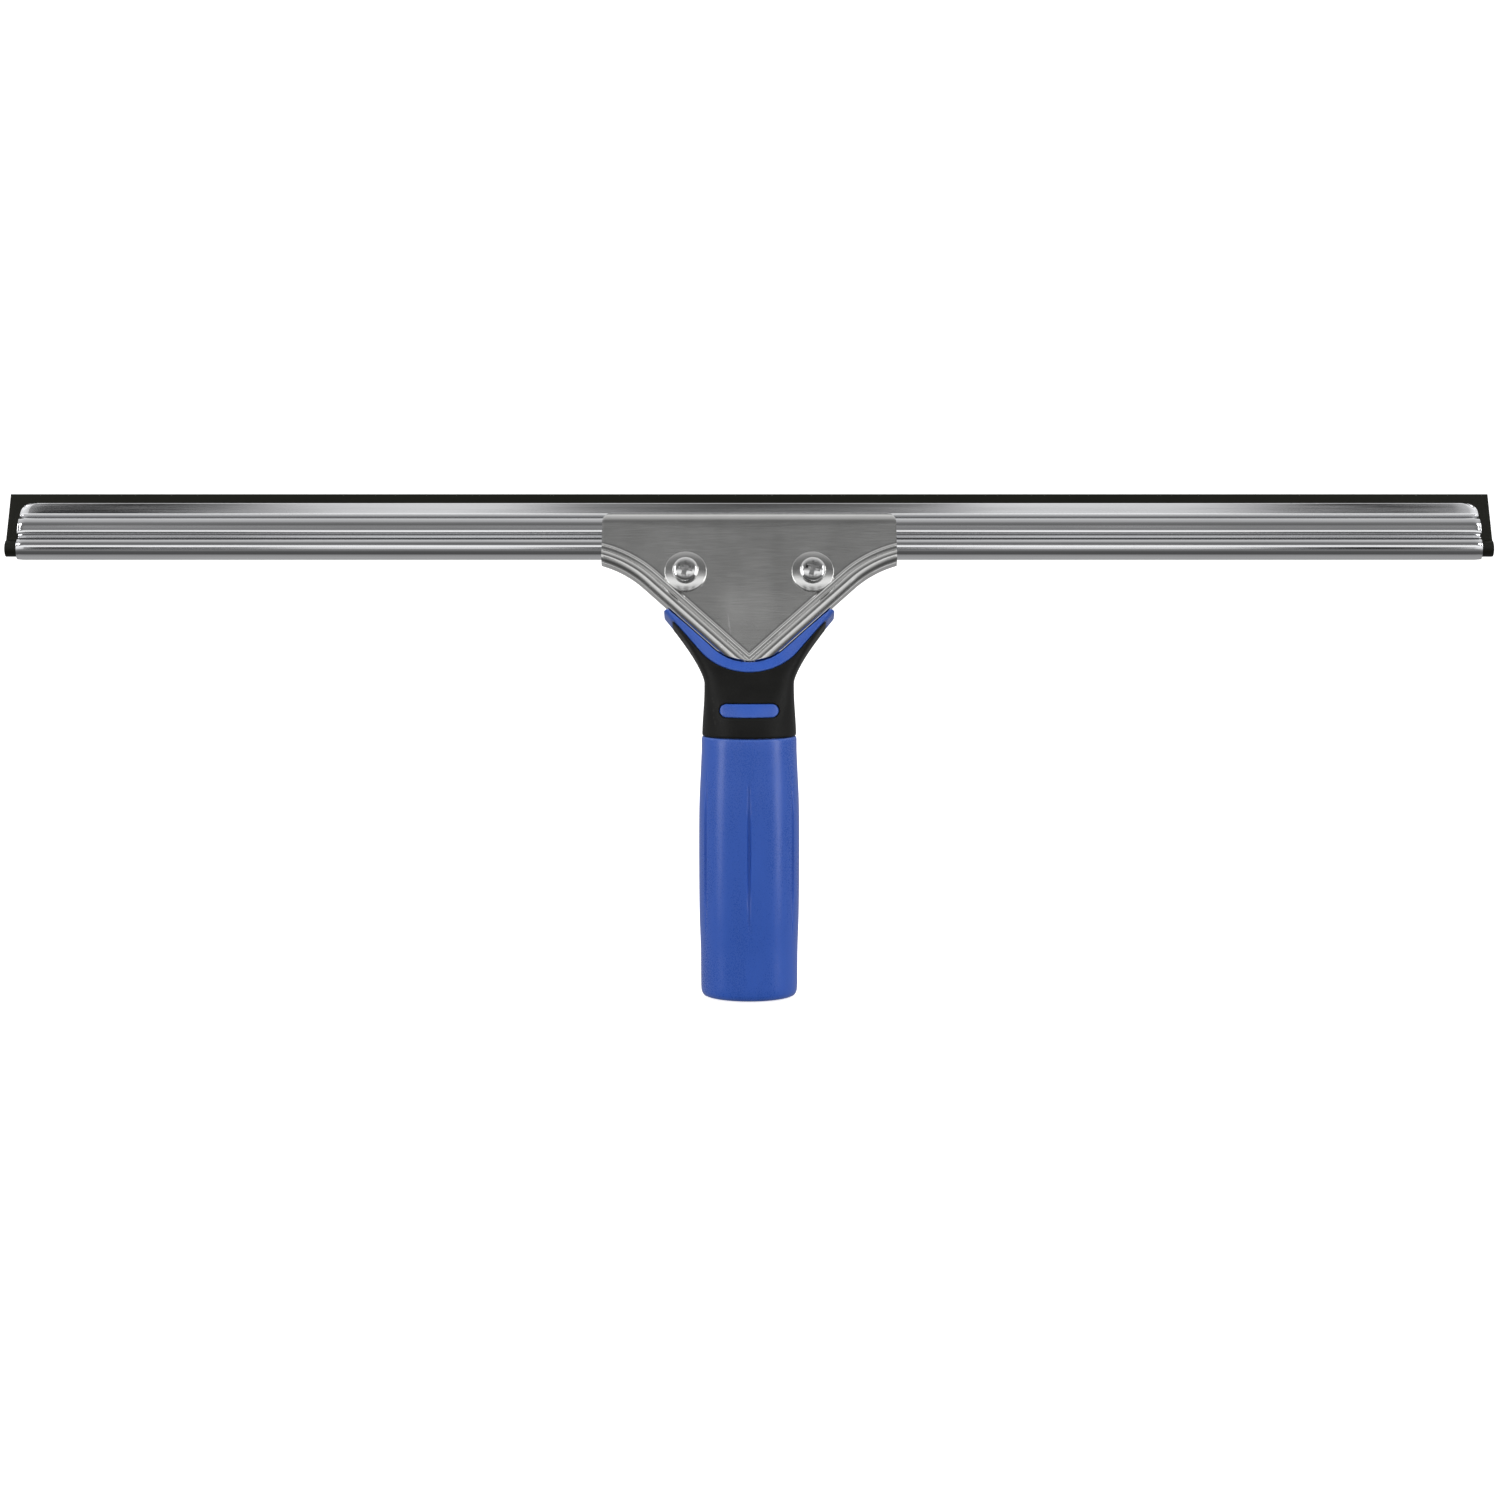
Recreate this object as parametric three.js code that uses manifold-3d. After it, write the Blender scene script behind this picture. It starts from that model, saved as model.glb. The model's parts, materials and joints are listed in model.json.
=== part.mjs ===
// Window squeegee with a clamp head and a grip that doubles as a tapered pole socket.
// Millimetres. The grip stands along +Z with its open socket mouth at the origin, the blade runs along X,
// and the front of the clamp head faces -Y. The head leans back, so its top is nearer to +Y.

import * as THREE from 'three';
import { mergeVertices } from 'three/addons/utils/BufferGeometryUtils.js';
import Module from 'manifold-3d';

const wasm = await Module();
wasm.setup();

// ---- driving dimensions -------------------------------------------------------------------------------------

const GAP = 0.3; // clearance between neighbouring pieces
const STACK_GAP = 0.15; // clearance between the flat faces of the screw, washers, plates and nut

// Grip and neck, measured up the grip axis
const GRIP_TOP = 95.5;
const GRIP_BORE_RADIUS = 15.2;
const GRIP_MAX_RADIUS = 18.55;
const GROOVE_COUNT = 6;
const GROOVE_LOW = 23;
const GROOVE_HIGH = 84;
const GROOVE_WIDTH = 2.6;
const GROOVE_DEPTH = 1.1;
const SOCKET_MOUTH_RADIUS = 13;
const SOCKET_END_RADIUS = 11;
const SOCKET_DEPTH = 84;
const SOCKET_WALL_RADIUS = 14.9;
const CATCH_HEIGHT = 64; // height of the window that the pole's catch snaps into
const CATCH_WIDTH = 9;
const CATCH_LENGTH = 12;
const CATCH_FRONT = 5; // depth where the cut for the window starts, inside the socket
const SLEEVE_THICKNESS = 1.7;
const NECK_BASE_RADIUS = 17.4;
const NECK_WAIST = 16.6; // half width of the neck at its narrowest
const WAIST_SHARE = 0.45; // where the neck starts to widen, as a share of the way up it
const WING_TOP = 17.5; // top of the wings, up the head
const WING_MIDDLE = -0.9; // middle of the wings' depth, towards the front
const WING_FLARE = 15.5;
const WING_HALF_DEPTH = 8.6;
const WING_POWER = 6; // squareness of the wings' section

// Head: its own frame stands on the tip of the jaw plates, with +Z up the plates and -Y out of the front
const HEAD_LEAN = THREE.MathUtils.degToRad(22);
const HEAD_ORIGIN = new THREE.Vector3(0, 2, 124);

// Jaw plate outline, right half: a round tip, a straight flank and a hollow arc out to the ear
const TIP_RADIUS = 18.8;
const TIP_BOTTOM = -3.3;
const FLANK_ANGLE = THREE.MathUtils.degToRad(43);
const FLANK_LENGTH = 36.2;
const EAR_ARC_RADIUS = 40;
const EAR_ARC_TURN = THREE.MathUtils.degToRad(27.5);
const JAW_HALF_WIDTH = 55.2;
const JAW_TOP = 57.2;
const JAW_CORNER_RADIUS = 5.5;

// Jaw plate section
const PLATE_THICKNESS = 1.2;
const JAW_HALF_GAP = 4.9;
const JAW_OUTER = JAW_HALF_GAP + PLATE_THICKNESS;
const CURL_START = 51.7;
const CURL_RADIUS = 4.5;
const CURL_ANGLE = THREE.MathUtils.degToRad(60);
const RIM_INSET = 2.9; // centre line of the stiffening bead, in from the plate's edge
const RIM_HALF_WIDTH = 2.3;
const RIM_HEIGHT = 1.5;
const RIM_LAYERS = 4;
const FLANGE_DEPTH = 2.4;
const FLANGE_BACK = -JAW_OUTER + PLATE_THICKNESS + FLANGE_DEPTH;
const REAR_INSET = 0.8; // how far the rear plate's sides stop short of the front plate's
const REAR_RAISE = 4.4; // how far in its lower edge stops, so that it hides behind the leaning front plate

// Clamp screws
const SCREW_X = 23.7;
const SCREW_U = 31.9;
const SCREW_HEAD_RADIUS = 4.85;
const SCREW_HEAD_HEIGHT = 2.9;
const SHANK_RADIUS = 2.35;
const SCREW_HOLE_RADIUS = 2.9;
const PLAIN_WASHER_RADIUS = 7.9;
const PLAIN_WASHER_THICKNESS = 0.8;
const SPRING_WASHER_RADIUS = 4.4;
const SPRING_WASHER_THICKNESS = 0.9;
const NUT_BORE_RADIUS = 2.65;
const NUT_FLANGE_RADIUS = 5.9;
const NUT_FLANGE_HEIGHT = 1;
const NUT_HEX_RADIUS = 4.62;
const NUT_HEX_HEIGHT = 3.6;
const SHANK_PAST_NUT = 0.9;
const RECESS_LENGTH = 5.6;
const RECESS_WIDTH = 1.3;
const RECESS_DEPTH = 1.8;
const RECESS_TURN = THREE.MathUtils.degToRad(15);
const SPLIT_WIDTH = 0.9; // the cut through a spring washer
const SPLIT_TURN = THREE.MathUtils.degToRad(25);

// Channel and rubber
const CHANNEL_HALF_LENGTH = 275;
const CHANNEL_BOTTOM = 39.2;
const CHANNEL_HEIGHT = 21.7;
const CHANNEL_WALL = 0.7;
const CHANNEL_CORNER_RADIUS = 4;
const CHANNEL_BEAD_RADIUS = 4.3;
const CHANNEL_BULGE = { depth: 0.9, up: 12.6, radius: 3.7 };
const RUBBER_HALF_LENGTH = 279.5;
const RUBBER_BEAD_RADIUS = 3.1;
const RUBBER_WEB_HALF = 1.35;
const RUBBER_PINCH = { half: 1.1, up: 16.5 };
const RUBBER_TIP = { half: 0.95, up: 26 };

// Tang of the rear plate and the pins that hold it in the core
const TANG_HALF_WIDTH = 8;
const TANG_BOTTOM = 97;
const TANG_SLOT_CLEARANCE = 0.4;
const PIN_RADIUS = 2;
const PIN_HEIGHTS = { upper_tang_pin: 109, lower_tang_pin: 102 };
const PIN_BACK = 11.4;

// Cradle of the core that holds the lower edges of the plates
const CRADLE_CENTRE_WIDTH = 4.3;
const CRADLE_OUTER_ANGLE = THREE.MathUtils.degToRad(53);
const CRADLE_TIP_X = 30.4;
const BLOCK_TOP = 24;
const BLOCK_INSET = REAR_RAISE + 0.6; // the block hides behind the leaning front plate, as the rear plate does
const ROOT_GROWTH = 1; // how far the block's root reaches into the cradle
const SKIN_INSET = 0.1; // how far the core's outer faces sit below the sleeve's

// Reach of the cutting tools past everything they cut
const CLEAR_TOP = 70;
const CLEAR_SIDE = 40;
const CLEAR_DEPTH = 30;

// Window bar on the neck
const BAR_HALF_LENGTH = 10.8;
const BAR_HALF_HEIGHT = 2.4;
const BAR_HEIGHT = 105.8;
const BAR_ROOT = -8; // depth that the bar reaches back to, inside the core

// ---- materials ----------------------------------------------------------------------------------------------

const FINISHES = {
  rubber: { color: 0x1c1d18, roughness: 0.7, metalness: 0 },
  polishedSteel: { color: 0xb9bbbd, roughness: 0.12, metalness: 1 },
  satinSteel: { color: 0x8f9092, roughness: 0.38, metalness: 1 },
  screwSteel: { color: 0xb4b5b4, roughness: 0.22, metalness: 1 },
  bluePlastic: { color: 0x3f68b4, roughness: 0.42, metalness: 0 },
  blackSleeve: { color: 0x232321, roughness: 0.6, metalness: 0 },
};

// ---- solids -------------------------------------------------------------------------------------------------

/** Turns a closed three.js geometry into a manifold solid. */
function solid(geometry) {
  const bare = geometry.index ? geometry.toNonIndexed() : geometry.clone();
  bare.deleteAttribute('normal');
  bare.deleteAttribute('uv');
  const merged = mergeVertices(bare, 1e-4);
  const mesh = new wasm.Mesh({
    numProp: 3,
    vertProperties: new Float32Array(merged.attributes.position.array),
    triVerts: new Uint32Array(merged.index.array),
  });
  return new wasm.Manifold(mesh);
}

/** Turns a manifold solid back into a three.js geometry. */
function geometryOf(body) {
  const mesh = body.getMesh();
  const geometry = new THREE.BufferGeometry();
  geometry.setAttribute('position', new THREE.BufferAttribute(mesh.vertProperties, 3));
  geometry.setIndex(new THREE.BufferAttribute(mesh.triVerts, 1));
  geometry.computeVertexNormals();
  return geometry;
}

/** A named mesh in one finish. */
function piece(name, geometry, finish) {
  const mesh = new THREE.Mesh(geometry, new THREE.MeshStandardMaterial(FINISHES[finish]));
  mesh.name = name;
  return mesh;
}

/** Extrudes an outline drawn in X and up, from a front depth to a back depth along Y. */
function slab(shape, front, back, options = {}) {
  const geometry = new THREE.ExtrudeGeometry(shape, {
    depth: back - front,
    bevelEnabled: false,
    curveSegments: 10,
    ...options,
  });
  // The outline's second axis becomes Z, and the extrusion runs towards -Y from the back depth
  geometry.rotateX(Math.PI / 2);
  geometry.translate(0, back, 0);
  return geometry;
}

/** Extrudes a side profile drawn as (depth along Y, height along Z) over a width centred on X = 0. */
function bar(shape, width, curveSegments = 8) {
  const geometry = new THREE.ExtrudeGeometry(shape, { depth: width, bevelEnabled: false, curveSegments });
  geometry.applyMatrix4(new THREE.Matrix4().set(0, 0, 1, -width / 2, 1, 0, 0, 0, 0, 1, 0, 0, 0, 0, 0, 1));
  return geometry;
}

/** A solid of revolution about Z from [radius, height] pairs. */
function turned(profile, segments) {
  const points = profile.map(([radius, height]) => new THREE.Vector2(radius, height));
  const geometry = new THREE.LatheGeometry(points, segments);
  geometry.rotateX(Math.PI / 2);
  return geometry;
}

/** A round bar along Y, centred on (x, up), between two depths. */
function rod(radius, x, up, front, back, segments = 20) {
  const geometry = new THREE.CylinderGeometry(radius, radius, back - front, segments);
  geometry.translate(x, (front + back) / 2, up);
  return geometry;
}

/** Lifts a geometry from the head's frame into the grip's frame. */
function fromHead(geometry) {
  geometry.rotateX(-HEAD_LEAN);
  geometry.translate(HEAD_ORIGIN.x, HEAD_ORIGIN.y, HEAD_ORIGIN.z);
  return geometry;
}

// ---- jaw plate outline --------------------------------------------------------------------------------------

/** Right half of the plates' lower edge, from the tip to the ear, moved in by inset. */
function lowerEdge(inset, tipSteps = 6, earSteps = 8) {
  const points = [];
  const centreUp = TIP_BOTTOM + TIP_RADIUS;
  const tipRadius = TIP_RADIUS - inset;
  for (let i = 0; i <= tipSteps; i += 1) {
    const angle = (FLANK_ANGLE * i) / tipSteps;
    points.push(new THREE.Vector2(tipRadius * Math.sin(angle), centreUp - tipRadius * Math.cos(angle)));
  }
  const flankEnd = new THREE.Vector2(
    TIP_RADIUS * Math.sin(FLANK_ANGLE) + FLANK_LENGTH * Math.cos(FLANK_ANGLE),
    centreUp - TIP_RADIUS * Math.cos(FLANK_ANGLE) + FLANK_LENGTH * Math.sin(FLANK_ANGLE),
  );
  const earRadius = EAR_ARC_RADIUS + inset;
  const earCentre = new THREE.Vector2(
    flankEnd.x + EAR_ARC_RADIUS * Math.sin(FLANK_ANGLE),
    flankEnd.y - EAR_ARC_RADIUS * Math.cos(FLANK_ANGLE),
  );
  for (let i = 0; i <= earSteps; i += 1) {
    const angle = FLANK_ANGLE - (EAR_ARC_TURN * i) / earSteps;
    points.push(
      new THREE.Vector2(earCentre.x - earRadius * Math.sin(angle), earCentre.y + earRadius * Math.cos(angle)),
    );
  }
  return points;
}

/** Mirrors a right-half run of points across X = 0, so that it runs from the left ear to the right ear. */
function bothSides(points) {
  const left = points.slice(1).map((point) => new THREE.Vector2(-point.x, point.y));
  return [...left.reverse(), ...points];
}

/** The whole plate outline, moved in by sideInset at its sides and by lowerInset along its lower edge. */
function plateOutline(sideInset = 0, lowerInset = 0) {
  const halfWidth = JAW_HALF_WIDTH - sideInset;
  const corner = JAW_CORNER_RADIUS;
  const edge = bothSides(lowerEdge(lowerInset)).filter((point) => Math.abs(point.x) < halfWidth - 0.2);
  const ear = lowerEdge(lowerInset).at(-1).y;
  const shape = new THREE.Shape([new THREE.Vector2(-halfWidth, ear), ...edge]);
  shape.lineTo(halfWidth, ear);
  shape.lineTo(halfWidth, JAW_TOP - corner);
  shape.absarc(halfWidth - corner, JAW_TOP - corner, corner, 0, Math.PI / 2, false);
  shape.lineTo(-halfWidth + corner, JAW_TOP);
  shape.absarc(-halfWidth + corner, JAW_TOP - corner, corner, Math.PI / 2, Math.PI, false);
  shape.closePath();
  return shape;
}

/** Side profile of the front plate's sheet: flat, then curling in over the channel at the top. */
function curledProfile() {
  const inner = CURL_RADIUS;
  const outer = CURL_RADIUS + PLATE_THICKNESS;
  const centreDepth = -(JAW_HALF_GAP - CURL_RADIUS);
  const shape = new THREE.Shape();
  shape.moveTo(-JAW_OUTER, TIP_BOTTOM - 1);
  shape.lineTo(-JAW_HALF_GAP, TIP_BOTTOM - 1);
  shape.lineTo(-JAW_HALF_GAP, CURL_START);
  shape.absarc(centreDepth, CURL_START, inner, Math.PI, Math.PI - CURL_ANGLE, true);
  shape.absarc(centreDepth, CURL_START, outer, Math.PI - CURL_ANGLE, Math.PI, false);
  shape.closePath();
  return shape;
}

/** A closed band along the plates' lower edge, between two insets, from ear to ear. */
function edgeBand(outerInset, innerInset) {
  const outer = bothSides(lowerEdge(outerInset));
  const inner = bothSides(lowerEdge(innerInset)).reverse();
  return new THREE.Shape([...outer, ...inner]);
}

/** The half-round stiffening bead that stands on the front plate along its lower edge. */
function rimBead() {
  let bead = null;
  for (let i = 0; i < RIM_LAYERS; i += 1) {
    // Each layer of the stack is as wide as the half-ellipse at its middle height, and overlaps the one below
    const middle = (i + 0.5) / RIM_LAYERS;
    const halfWidth = RIM_HALF_WIDTH * Math.sqrt(1 - middle * middle);
    const back = -JAW_OUTER + (i === 0 ? 0.3 : 0.05) - (RIM_HEIGHT * i) / RIM_LAYERS;
    const front = -JAW_OUTER - (RIM_HEIGHT * (i + 1)) / RIM_LAYERS;
    const layer = solid(slab(edgeBand(RIM_INSET - halfWidth, RIM_INSET + halfWidth), front, back));
    bead = bead ? bead.add(layer) : layer;
  }
  return bead;
}

/** Round holes for both clamp screws, between two depths. */
function screwHoles(radius, front, back) {
  const left = solid(rod(radius, -SCREW_X, SCREW_U, front, back));
  return left.add(solid(rod(radius, SCREW_X, SCREW_U, front, back)));
}

/** Everything on the object's side of the plates' side edges, which trims what is swept past the ears. */
function earTrim() {
  return solid(new THREE.BoxGeometry(2 * JAW_HALF_WIDTH, 40, 200));
}

// ---- head pieces --------------------------------------------------------------------------------------------

function frontJawPlate() {
  const sheet = solid(bar(curledProfile(), 2 * JAW_HALF_WIDTH + 2));
  const outline = solid(slab(plateOutline(), -JAW_OUTER - 1, 1));
  const flange = solid(slab(edgeBand(0, PLATE_THICKNESS), -JAW_OUTER + 0.05, FLANGE_BACK));
  const pressing = sheet.intersect(outline).add(flange).add(rimBead()).intersect(earTrim());
  return geometryOf(pressing.subtract(screwHoles(SCREW_HOLE_RADIUS, -10, 0)));
}

/** The rear plate's tang: from the plate's tip it bends to run down the grip axis. */
function tang(clearance = 0) {
  const middle = tangTop();
  const half = PLATE_THICKNESS / 2 + clearance;
  const bottom = TANG_BOTTOM - clearance;
  const top = middle.z + 6;
  const lean = Math.tan(HEAD_LEAN);
  const shape = new THREE.Shape();
  shape.moveTo(middle.y - half, bottom);
  shape.lineTo(middle.y + half, bottom);
  shape.lineTo(middle.y + half, middle.z - half * lean);
  shape.lineTo(middle.y + half + (top - middle.z) * lean, top);
  shape.lineTo(middle.y - half + (top - middle.z) * lean, top);
  shape.lineTo(middle.y - half, middle.z + half * lean);
  shape.closePath();
  return solid(bar(shape, 2 * (TANG_HALF_WIDTH + clearance)));
}

/** Where the middle of the rear sheet crosses from the head's lean to the upright tang. */
function tangTop() {
  const middle = new THREE.Vector3(0, JAW_HALF_GAP + PLATE_THICKNESS / 2, 0);
  return middle.applyAxisAngle(new THREE.Vector3(1, 0, 0), -HEAD_LEAN).add(HEAD_ORIGIN);
}

function rearJawPlate() {
  const sheet = bar(curledProfile(), 2 * JAW_HALF_WIDTH + 2);
  sheet.rotateZ(Math.PI);
  const outline = slab(plateOutline(REAR_INSET, REAR_RAISE), -1, JAW_OUTER + 1);
  let body = solid(fromHead(sheet)).intersect(solid(fromHead(outline))).add(tang());
  for (const height of Object.values(PIN_HEIGHTS)) {
    body = body.subtract(solid(rod(PIN_RADIUS + GAP, 0, height, 0, 20)));
  }
  for (const x of [-SCREW_X, SCREW_X]) {
    body = body.subtract(solid(fromHead(rod(SCREW_HOLE_RADIUS, x, SCREW_U, 0, 10))));
  }
  return geometryOf(body);
}

/** A wide rectangle that reaches up to a height in the head's frame. */
function lowHalf(top) {
  const reach = JAW_HALF_WIDTH + 5;
  return new THREE.Shape([
    new THREE.Vector2(-reach, -CLEAR_DEPTH),
    new THREE.Vector2(reach, -CLEAR_DEPTH),
    new THREE.Vector2(reach, top),
    new THREE.Vector2(-reach, top),
  ]);
}

/** Depths of the faces of the screw's stack, from the plate outwards, all negative. */
function stackDepths() {
  const plainBack = -JAW_OUTER - STACK_GAP;
  const plainFront = plainBack - PLAIN_WASHER_THICKNESS;
  const springBack = plainFront - STACK_GAP;
  const springFront = springBack - SPRING_WASHER_THICKNESS;
  const headBack = springFront - STACK_GAP;
  return { plainBack, plainFront, springBack, springFront, headBack };
}

/** A flat ring along Y about one screw's axis. */
function ring(x, outerRadius, innerRadius, front, back, segments = 32) {
  const outer = solid(rod(outerRadius, x, SCREW_U, front, back, segments));
  return outer.subtract(solid(rod(innerRadius, x, SCREW_U, front - 1, back + 1, 20)));
}

function plainWasher(x) {
  const { plainBack, plainFront } = stackDepths();
  return geometryOf(ring(x, PLAIN_WASHER_RADIUS, NUT_BORE_RADIUS, plainFront, plainBack));
}

/** A split ring: the cut is a thin slot through one side. */
function springWasher(x) {
  const { springBack, springFront } = stackDepths();
  const slot = new THREE.BoxGeometry(SPLIT_WIDTH, 4, 4);
  slot.rotateY(SPLIT_TURN);
  slot.translate(x, (springBack + springFront) / 2, SCREW_U + SPRING_WASHER_RADIUS - 0.6);
  const whole = ring(x, SPRING_WASHER_RADIUS, NUT_BORE_RADIUS, springFront, springBack, 28);
  return geometryOf(whole.subtract(solid(slot)));
}

/** A pan-head screw: a domed head with a cross recess, and a plain shank through to the nut. */
function clampScrew(x) {
  const { headBack } = stackDepths();
  const radius = SCREW_HEAD_RADIUS;
  const tip = JAW_OUTER + STACK_GAP + NUT_FLANGE_HEIGHT + NUT_HEX_HEIGHT + SHANK_PAST_NUT;
  const length = tip - headBack;
  const profile = [
    [0, -length],
    [SHANK_RADIUS - 0.5, -length],
    [SHANK_RADIUS, -length + 0.6],
    [SHANK_RADIUS, 0],
    [radius, 0],
    [radius, SCREW_HEAD_HEIGHT * 0.45],
    [radius * 0.9, SCREW_HEAD_HEIGHT * 0.75],
    [radius * 0.7, SCREW_HEAD_HEIGHT * 0.93],
    [radius * 0.4, SCREW_HEAD_HEIGHT],
    [0, SCREW_HEAD_HEIGHT],
  ];
  const body = turned(profile, 28);
  body.rotateX(Math.PI / 2);
  body.translate(x, headBack, SCREW_U);
  const recess = [];
  for (const angle of [0, Math.PI / 2]) {
    const slot = new THREE.BoxGeometry(RECESS_LENGTH, 2 * RECESS_DEPTH, RECESS_WIDTH);
    slot.rotateY(angle + RECESS_TURN);
    slot.translate(x, headBack - SCREW_HEAD_HEIGHT, SCREW_U);
    recess.push(solid(slot));
  }
  return geometryOf(solid(body).subtract(recess[0]).subtract(recess[1]));
}

/** A flanged hexagon nut behind the rear plate. */
function clampNut(x) {
  const flangeFront = JAW_OUTER + STACK_GAP;
  const flangeBack = flangeFront + NUT_FLANGE_HEIGHT;
  const flange = solid(rod(NUT_FLANGE_RADIUS, x, SCREW_U, flangeFront, flangeBack, 32));
  const hexagon = solid(rod(NUT_HEX_RADIUS, x, SCREW_U, flangeBack - 0.1, flangeBack + NUT_HEX_HEIGHT, 6));
  const bore = solid(rod(NUT_BORE_RADIUS, x, SCREW_U, 0, 20, 20));
  return geometryOf(flange.add(hexagon).subtract(bore));
}

// ---- channel and rubber -------------------------------------------------------------------------------------

/** Points of an arc in the channel's section, its radius less shrink, between two angles in degrees. */
function arcPoints({ depth, up, radius }, shrink, start, end, steps) {
  const points = [];
  for (let i = 0; i <= steps; i += 1) {
    const angle = THREE.MathUtils.degToRad(start + ((end - start) * i) / steps);
    points.push([depth + (radius - shrink) * Math.cos(angle), up + (radius - shrink) * Math.sin(angle)]);
  }
  return points;
}

/** One side of the channel's section as [depth, height] pairs, from the bottom up to the lip. */
function channelSide(shrink) {
  const bead = { depth: 0, up: CHANNEL_BEAD_RADIUS, radius: CHANNEL_BEAD_RADIUS };
  const points = arcPoints(bead, shrink, -90, 46, 8);
  points.push([2.5 - shrink, 7.9]);
  points.push(...arcPoints(CHANNEL_BULGE, shrink, -45, 70, 9));
  points.push([2.1 - shrink, 17.3]);
  points.push([2.35 - shrink, 18.8]);
  points.push([2.9 - shrink, 20.4]);
  points.push([3.2 - shrink, CHANNEL_HEIGHT]);
  return points;
}

/** The folded sheet of the channel, open at the top between its lips. */
function channelSection() {
  const outer = channelSide(0);
  const inner = channelSide(CHANNEL_WALL);
  const run = [
    ...outer,
    ...[...inner].reverse(),
    ...inner.map(([depth, up]) => [-depth, up]),
    ...[...outer].reverse().map(([depth, up]) => [-depth, up]),
  ];
  const points = run.filter(([depth, up], i) => {
    const [lastDepth, lastUp] = run[(i + run.length - 1) % run.length];
    return Math.hypot(depth - lastDepth, up - lastUp) > 1e-3;
  });
  return new THREE.Shape(points.map(([depth, up]) => new THREE.Vector2(depth, CHANNEL_BOTTOM + up)));
}

function bladeChannel() {
  let body = solid(bar(channelSection(), 2 * CHANNEL_HALF_LENGTH));
  const top = CHANNEL_BOTTOM + CHANNEL_HEIGHT;
  const corner = CHANNEL_CORNER_RADIUS;
  for (const side of [-1, 1]) {
    // The waste outside a quarter round at the lip's outer end
    const shape = new THREE.Shape();
    const centre = side * (CHANNEL_HALF_LENGTH - corner);
    shape.moveTo(centre, top + 1);
    shape.lineTo(centre, top);
    shape.absarc(centre, top - corner, corner, Math.PI / 2, side > 0 ? 0 : Math.PI, side > 0);
    shape.lineTo(side * (CHANNEL_HALF_LENGTH + 1), top - corner);
    shape.lineTo(side * (CHANNEL_HALF_LENGTH + 1), top + 1);
    shape.closePath();
    body = body.subtract(solid(slab(shape, -8, 8)));
  }
  return geometryOf(body);
}

/** Section of the rubber strip: a round bead, a web and a tapering square-edged blade. */
function rubberSection() {
  const shape = new THREE.Shape();
  const beadUp = CHANNEL_BOTTOM + CHANNEL_BEAD_RADIUS;
  const join = Math.asin(RUBBER_WEB_HALF / RUBBER_BEAD_RADIUS);
  shape.absarc(0, beadUp, RUBBER_BEAD_RADIUS, Math.PI / 2 + join, 2.5 * Math.PI - join, false);
  shape.lineTo(RUBBER_PINCH.half, CHANNEL_BOTTOM + RUBBER_PINCH.up);
  shape.lineTo(RUBBER_TIP.half, CHANNEL_BOTTOM + RUBBER_TIP.up);
  shape.lineTo(-RUBBER_TIP.half, CHANNEL_BOTTOM + RUBBER_TIP.up);
  shape.lineTo(-RUBBER_PINCH.half, CHANNEL_BOTTOM + RUBBER_PINCH.up);
  shape.closePath();
  return shape;
}

function squeegeeRubber() {
  return bar(rubberSection(), 2 * RUBBER_HALF_LENGTH, 10);
}

// ---- handle -------------------------------------------------------------------------------------------------

/** Smooth blend from 0 to 1 as value goes from low to high. */
function blend(value, low, high) {
  return THREE.MathUtils.smoothstep(value, low, high);
}

/** Middle line of the neck: straight up from the grip, then leaning back with the head. */
function neckSpine() {
  const lean = new THREE.Vector3(0, Math.sin(HEAD_LEAN), Math.cos(HEAD_LEAN));
  const front = new THREE.Vector3(0, -Math.cos(HEAD_LEAN), Math.sin(HEAD_LEAN));
  const end = HEAD_ORIGIN.clone().addScaledVector(lean, WING_TOP).addScaledVector(front, WING_MIDDLE);
  const turn = end.clone().addScaledVector(lean, -end.y / lean.y);
  return new THREE.QuadraticBezierCurve3(new THREE.Vector3(0, 0, GRIP_TOP + GAP), turn, end);
}

/** Half width, half depth and squareness of the neck's section, a share of the way up its middle line. */
function neckSection(share) {
  const waist = THREE.MathUtils.lerp(NECK_BASE_RADIUS, NECK_WAIST, blend(share, 0, 0.4));
  const flare = Math.max(0, share - WAIST_SHARE) / (1 - WAIST_SHARE);
  return {
    halfWidth: waist + WING_FLARE * flare ** 1.4,
    halfDepth: THREE.MathUtils.lerp(NECK_BASE_RADIUS, WING_HALF_DEPTH, blend(share, 0, 0.7)),
    power: THREE.MathUtils.lerp(2, WING_POWER, blend(share, 0.05, 0.85)),
  };
}

/** The neck and its wings as one lofted solid, moved in by inset. */
function neckSolid(inset) {
  const spine = neckSpine();
  const rows = 14;
  const profile = [[0, 0]];
  for (let i = 0; i <= rows; i += 1) profile.push([1, i / rows]);
  profile.push([0, 1]);
  const geometry = turned(profile, 56);
  const position = geometry.attributes.position;
  const sideways = new THREE.Vector3(1, 0, 0);
  for (let i = 0; i < position.count; i += 1) {
    const share = THREE.MathUtils.clamp(position.getZ(i), 0, 1);
    const { halfWidth, halfDepth, power } = neckSection(share);
    const tangent = spine.getTangent(share);
    const depthward = new THREE.Vector3().crossVectors(tangent, sideways);
    const across = superRound(position.getX(i), power) * (halfWidth - inset);
    const along = superRound(position.getY(i), power) * (halfDepth - inset);
    const point = spine.getPoint(share).addScaledVector(sideways, across).addScaledVector(depthward, along);
    position.setXYZ(i, point.x, point.y, point.z);
  }
  return solid(geometry);
}

/** Squares up one coordinate of a unit circle: a power of 2 keeps it round. */
function superRound(value, power) {
  const clean = Math.abs(value) < 1e-6 ? 0 : value;
  return Math.sign(clean) * Math.abs(clean) ** (2 / power);
}

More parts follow.
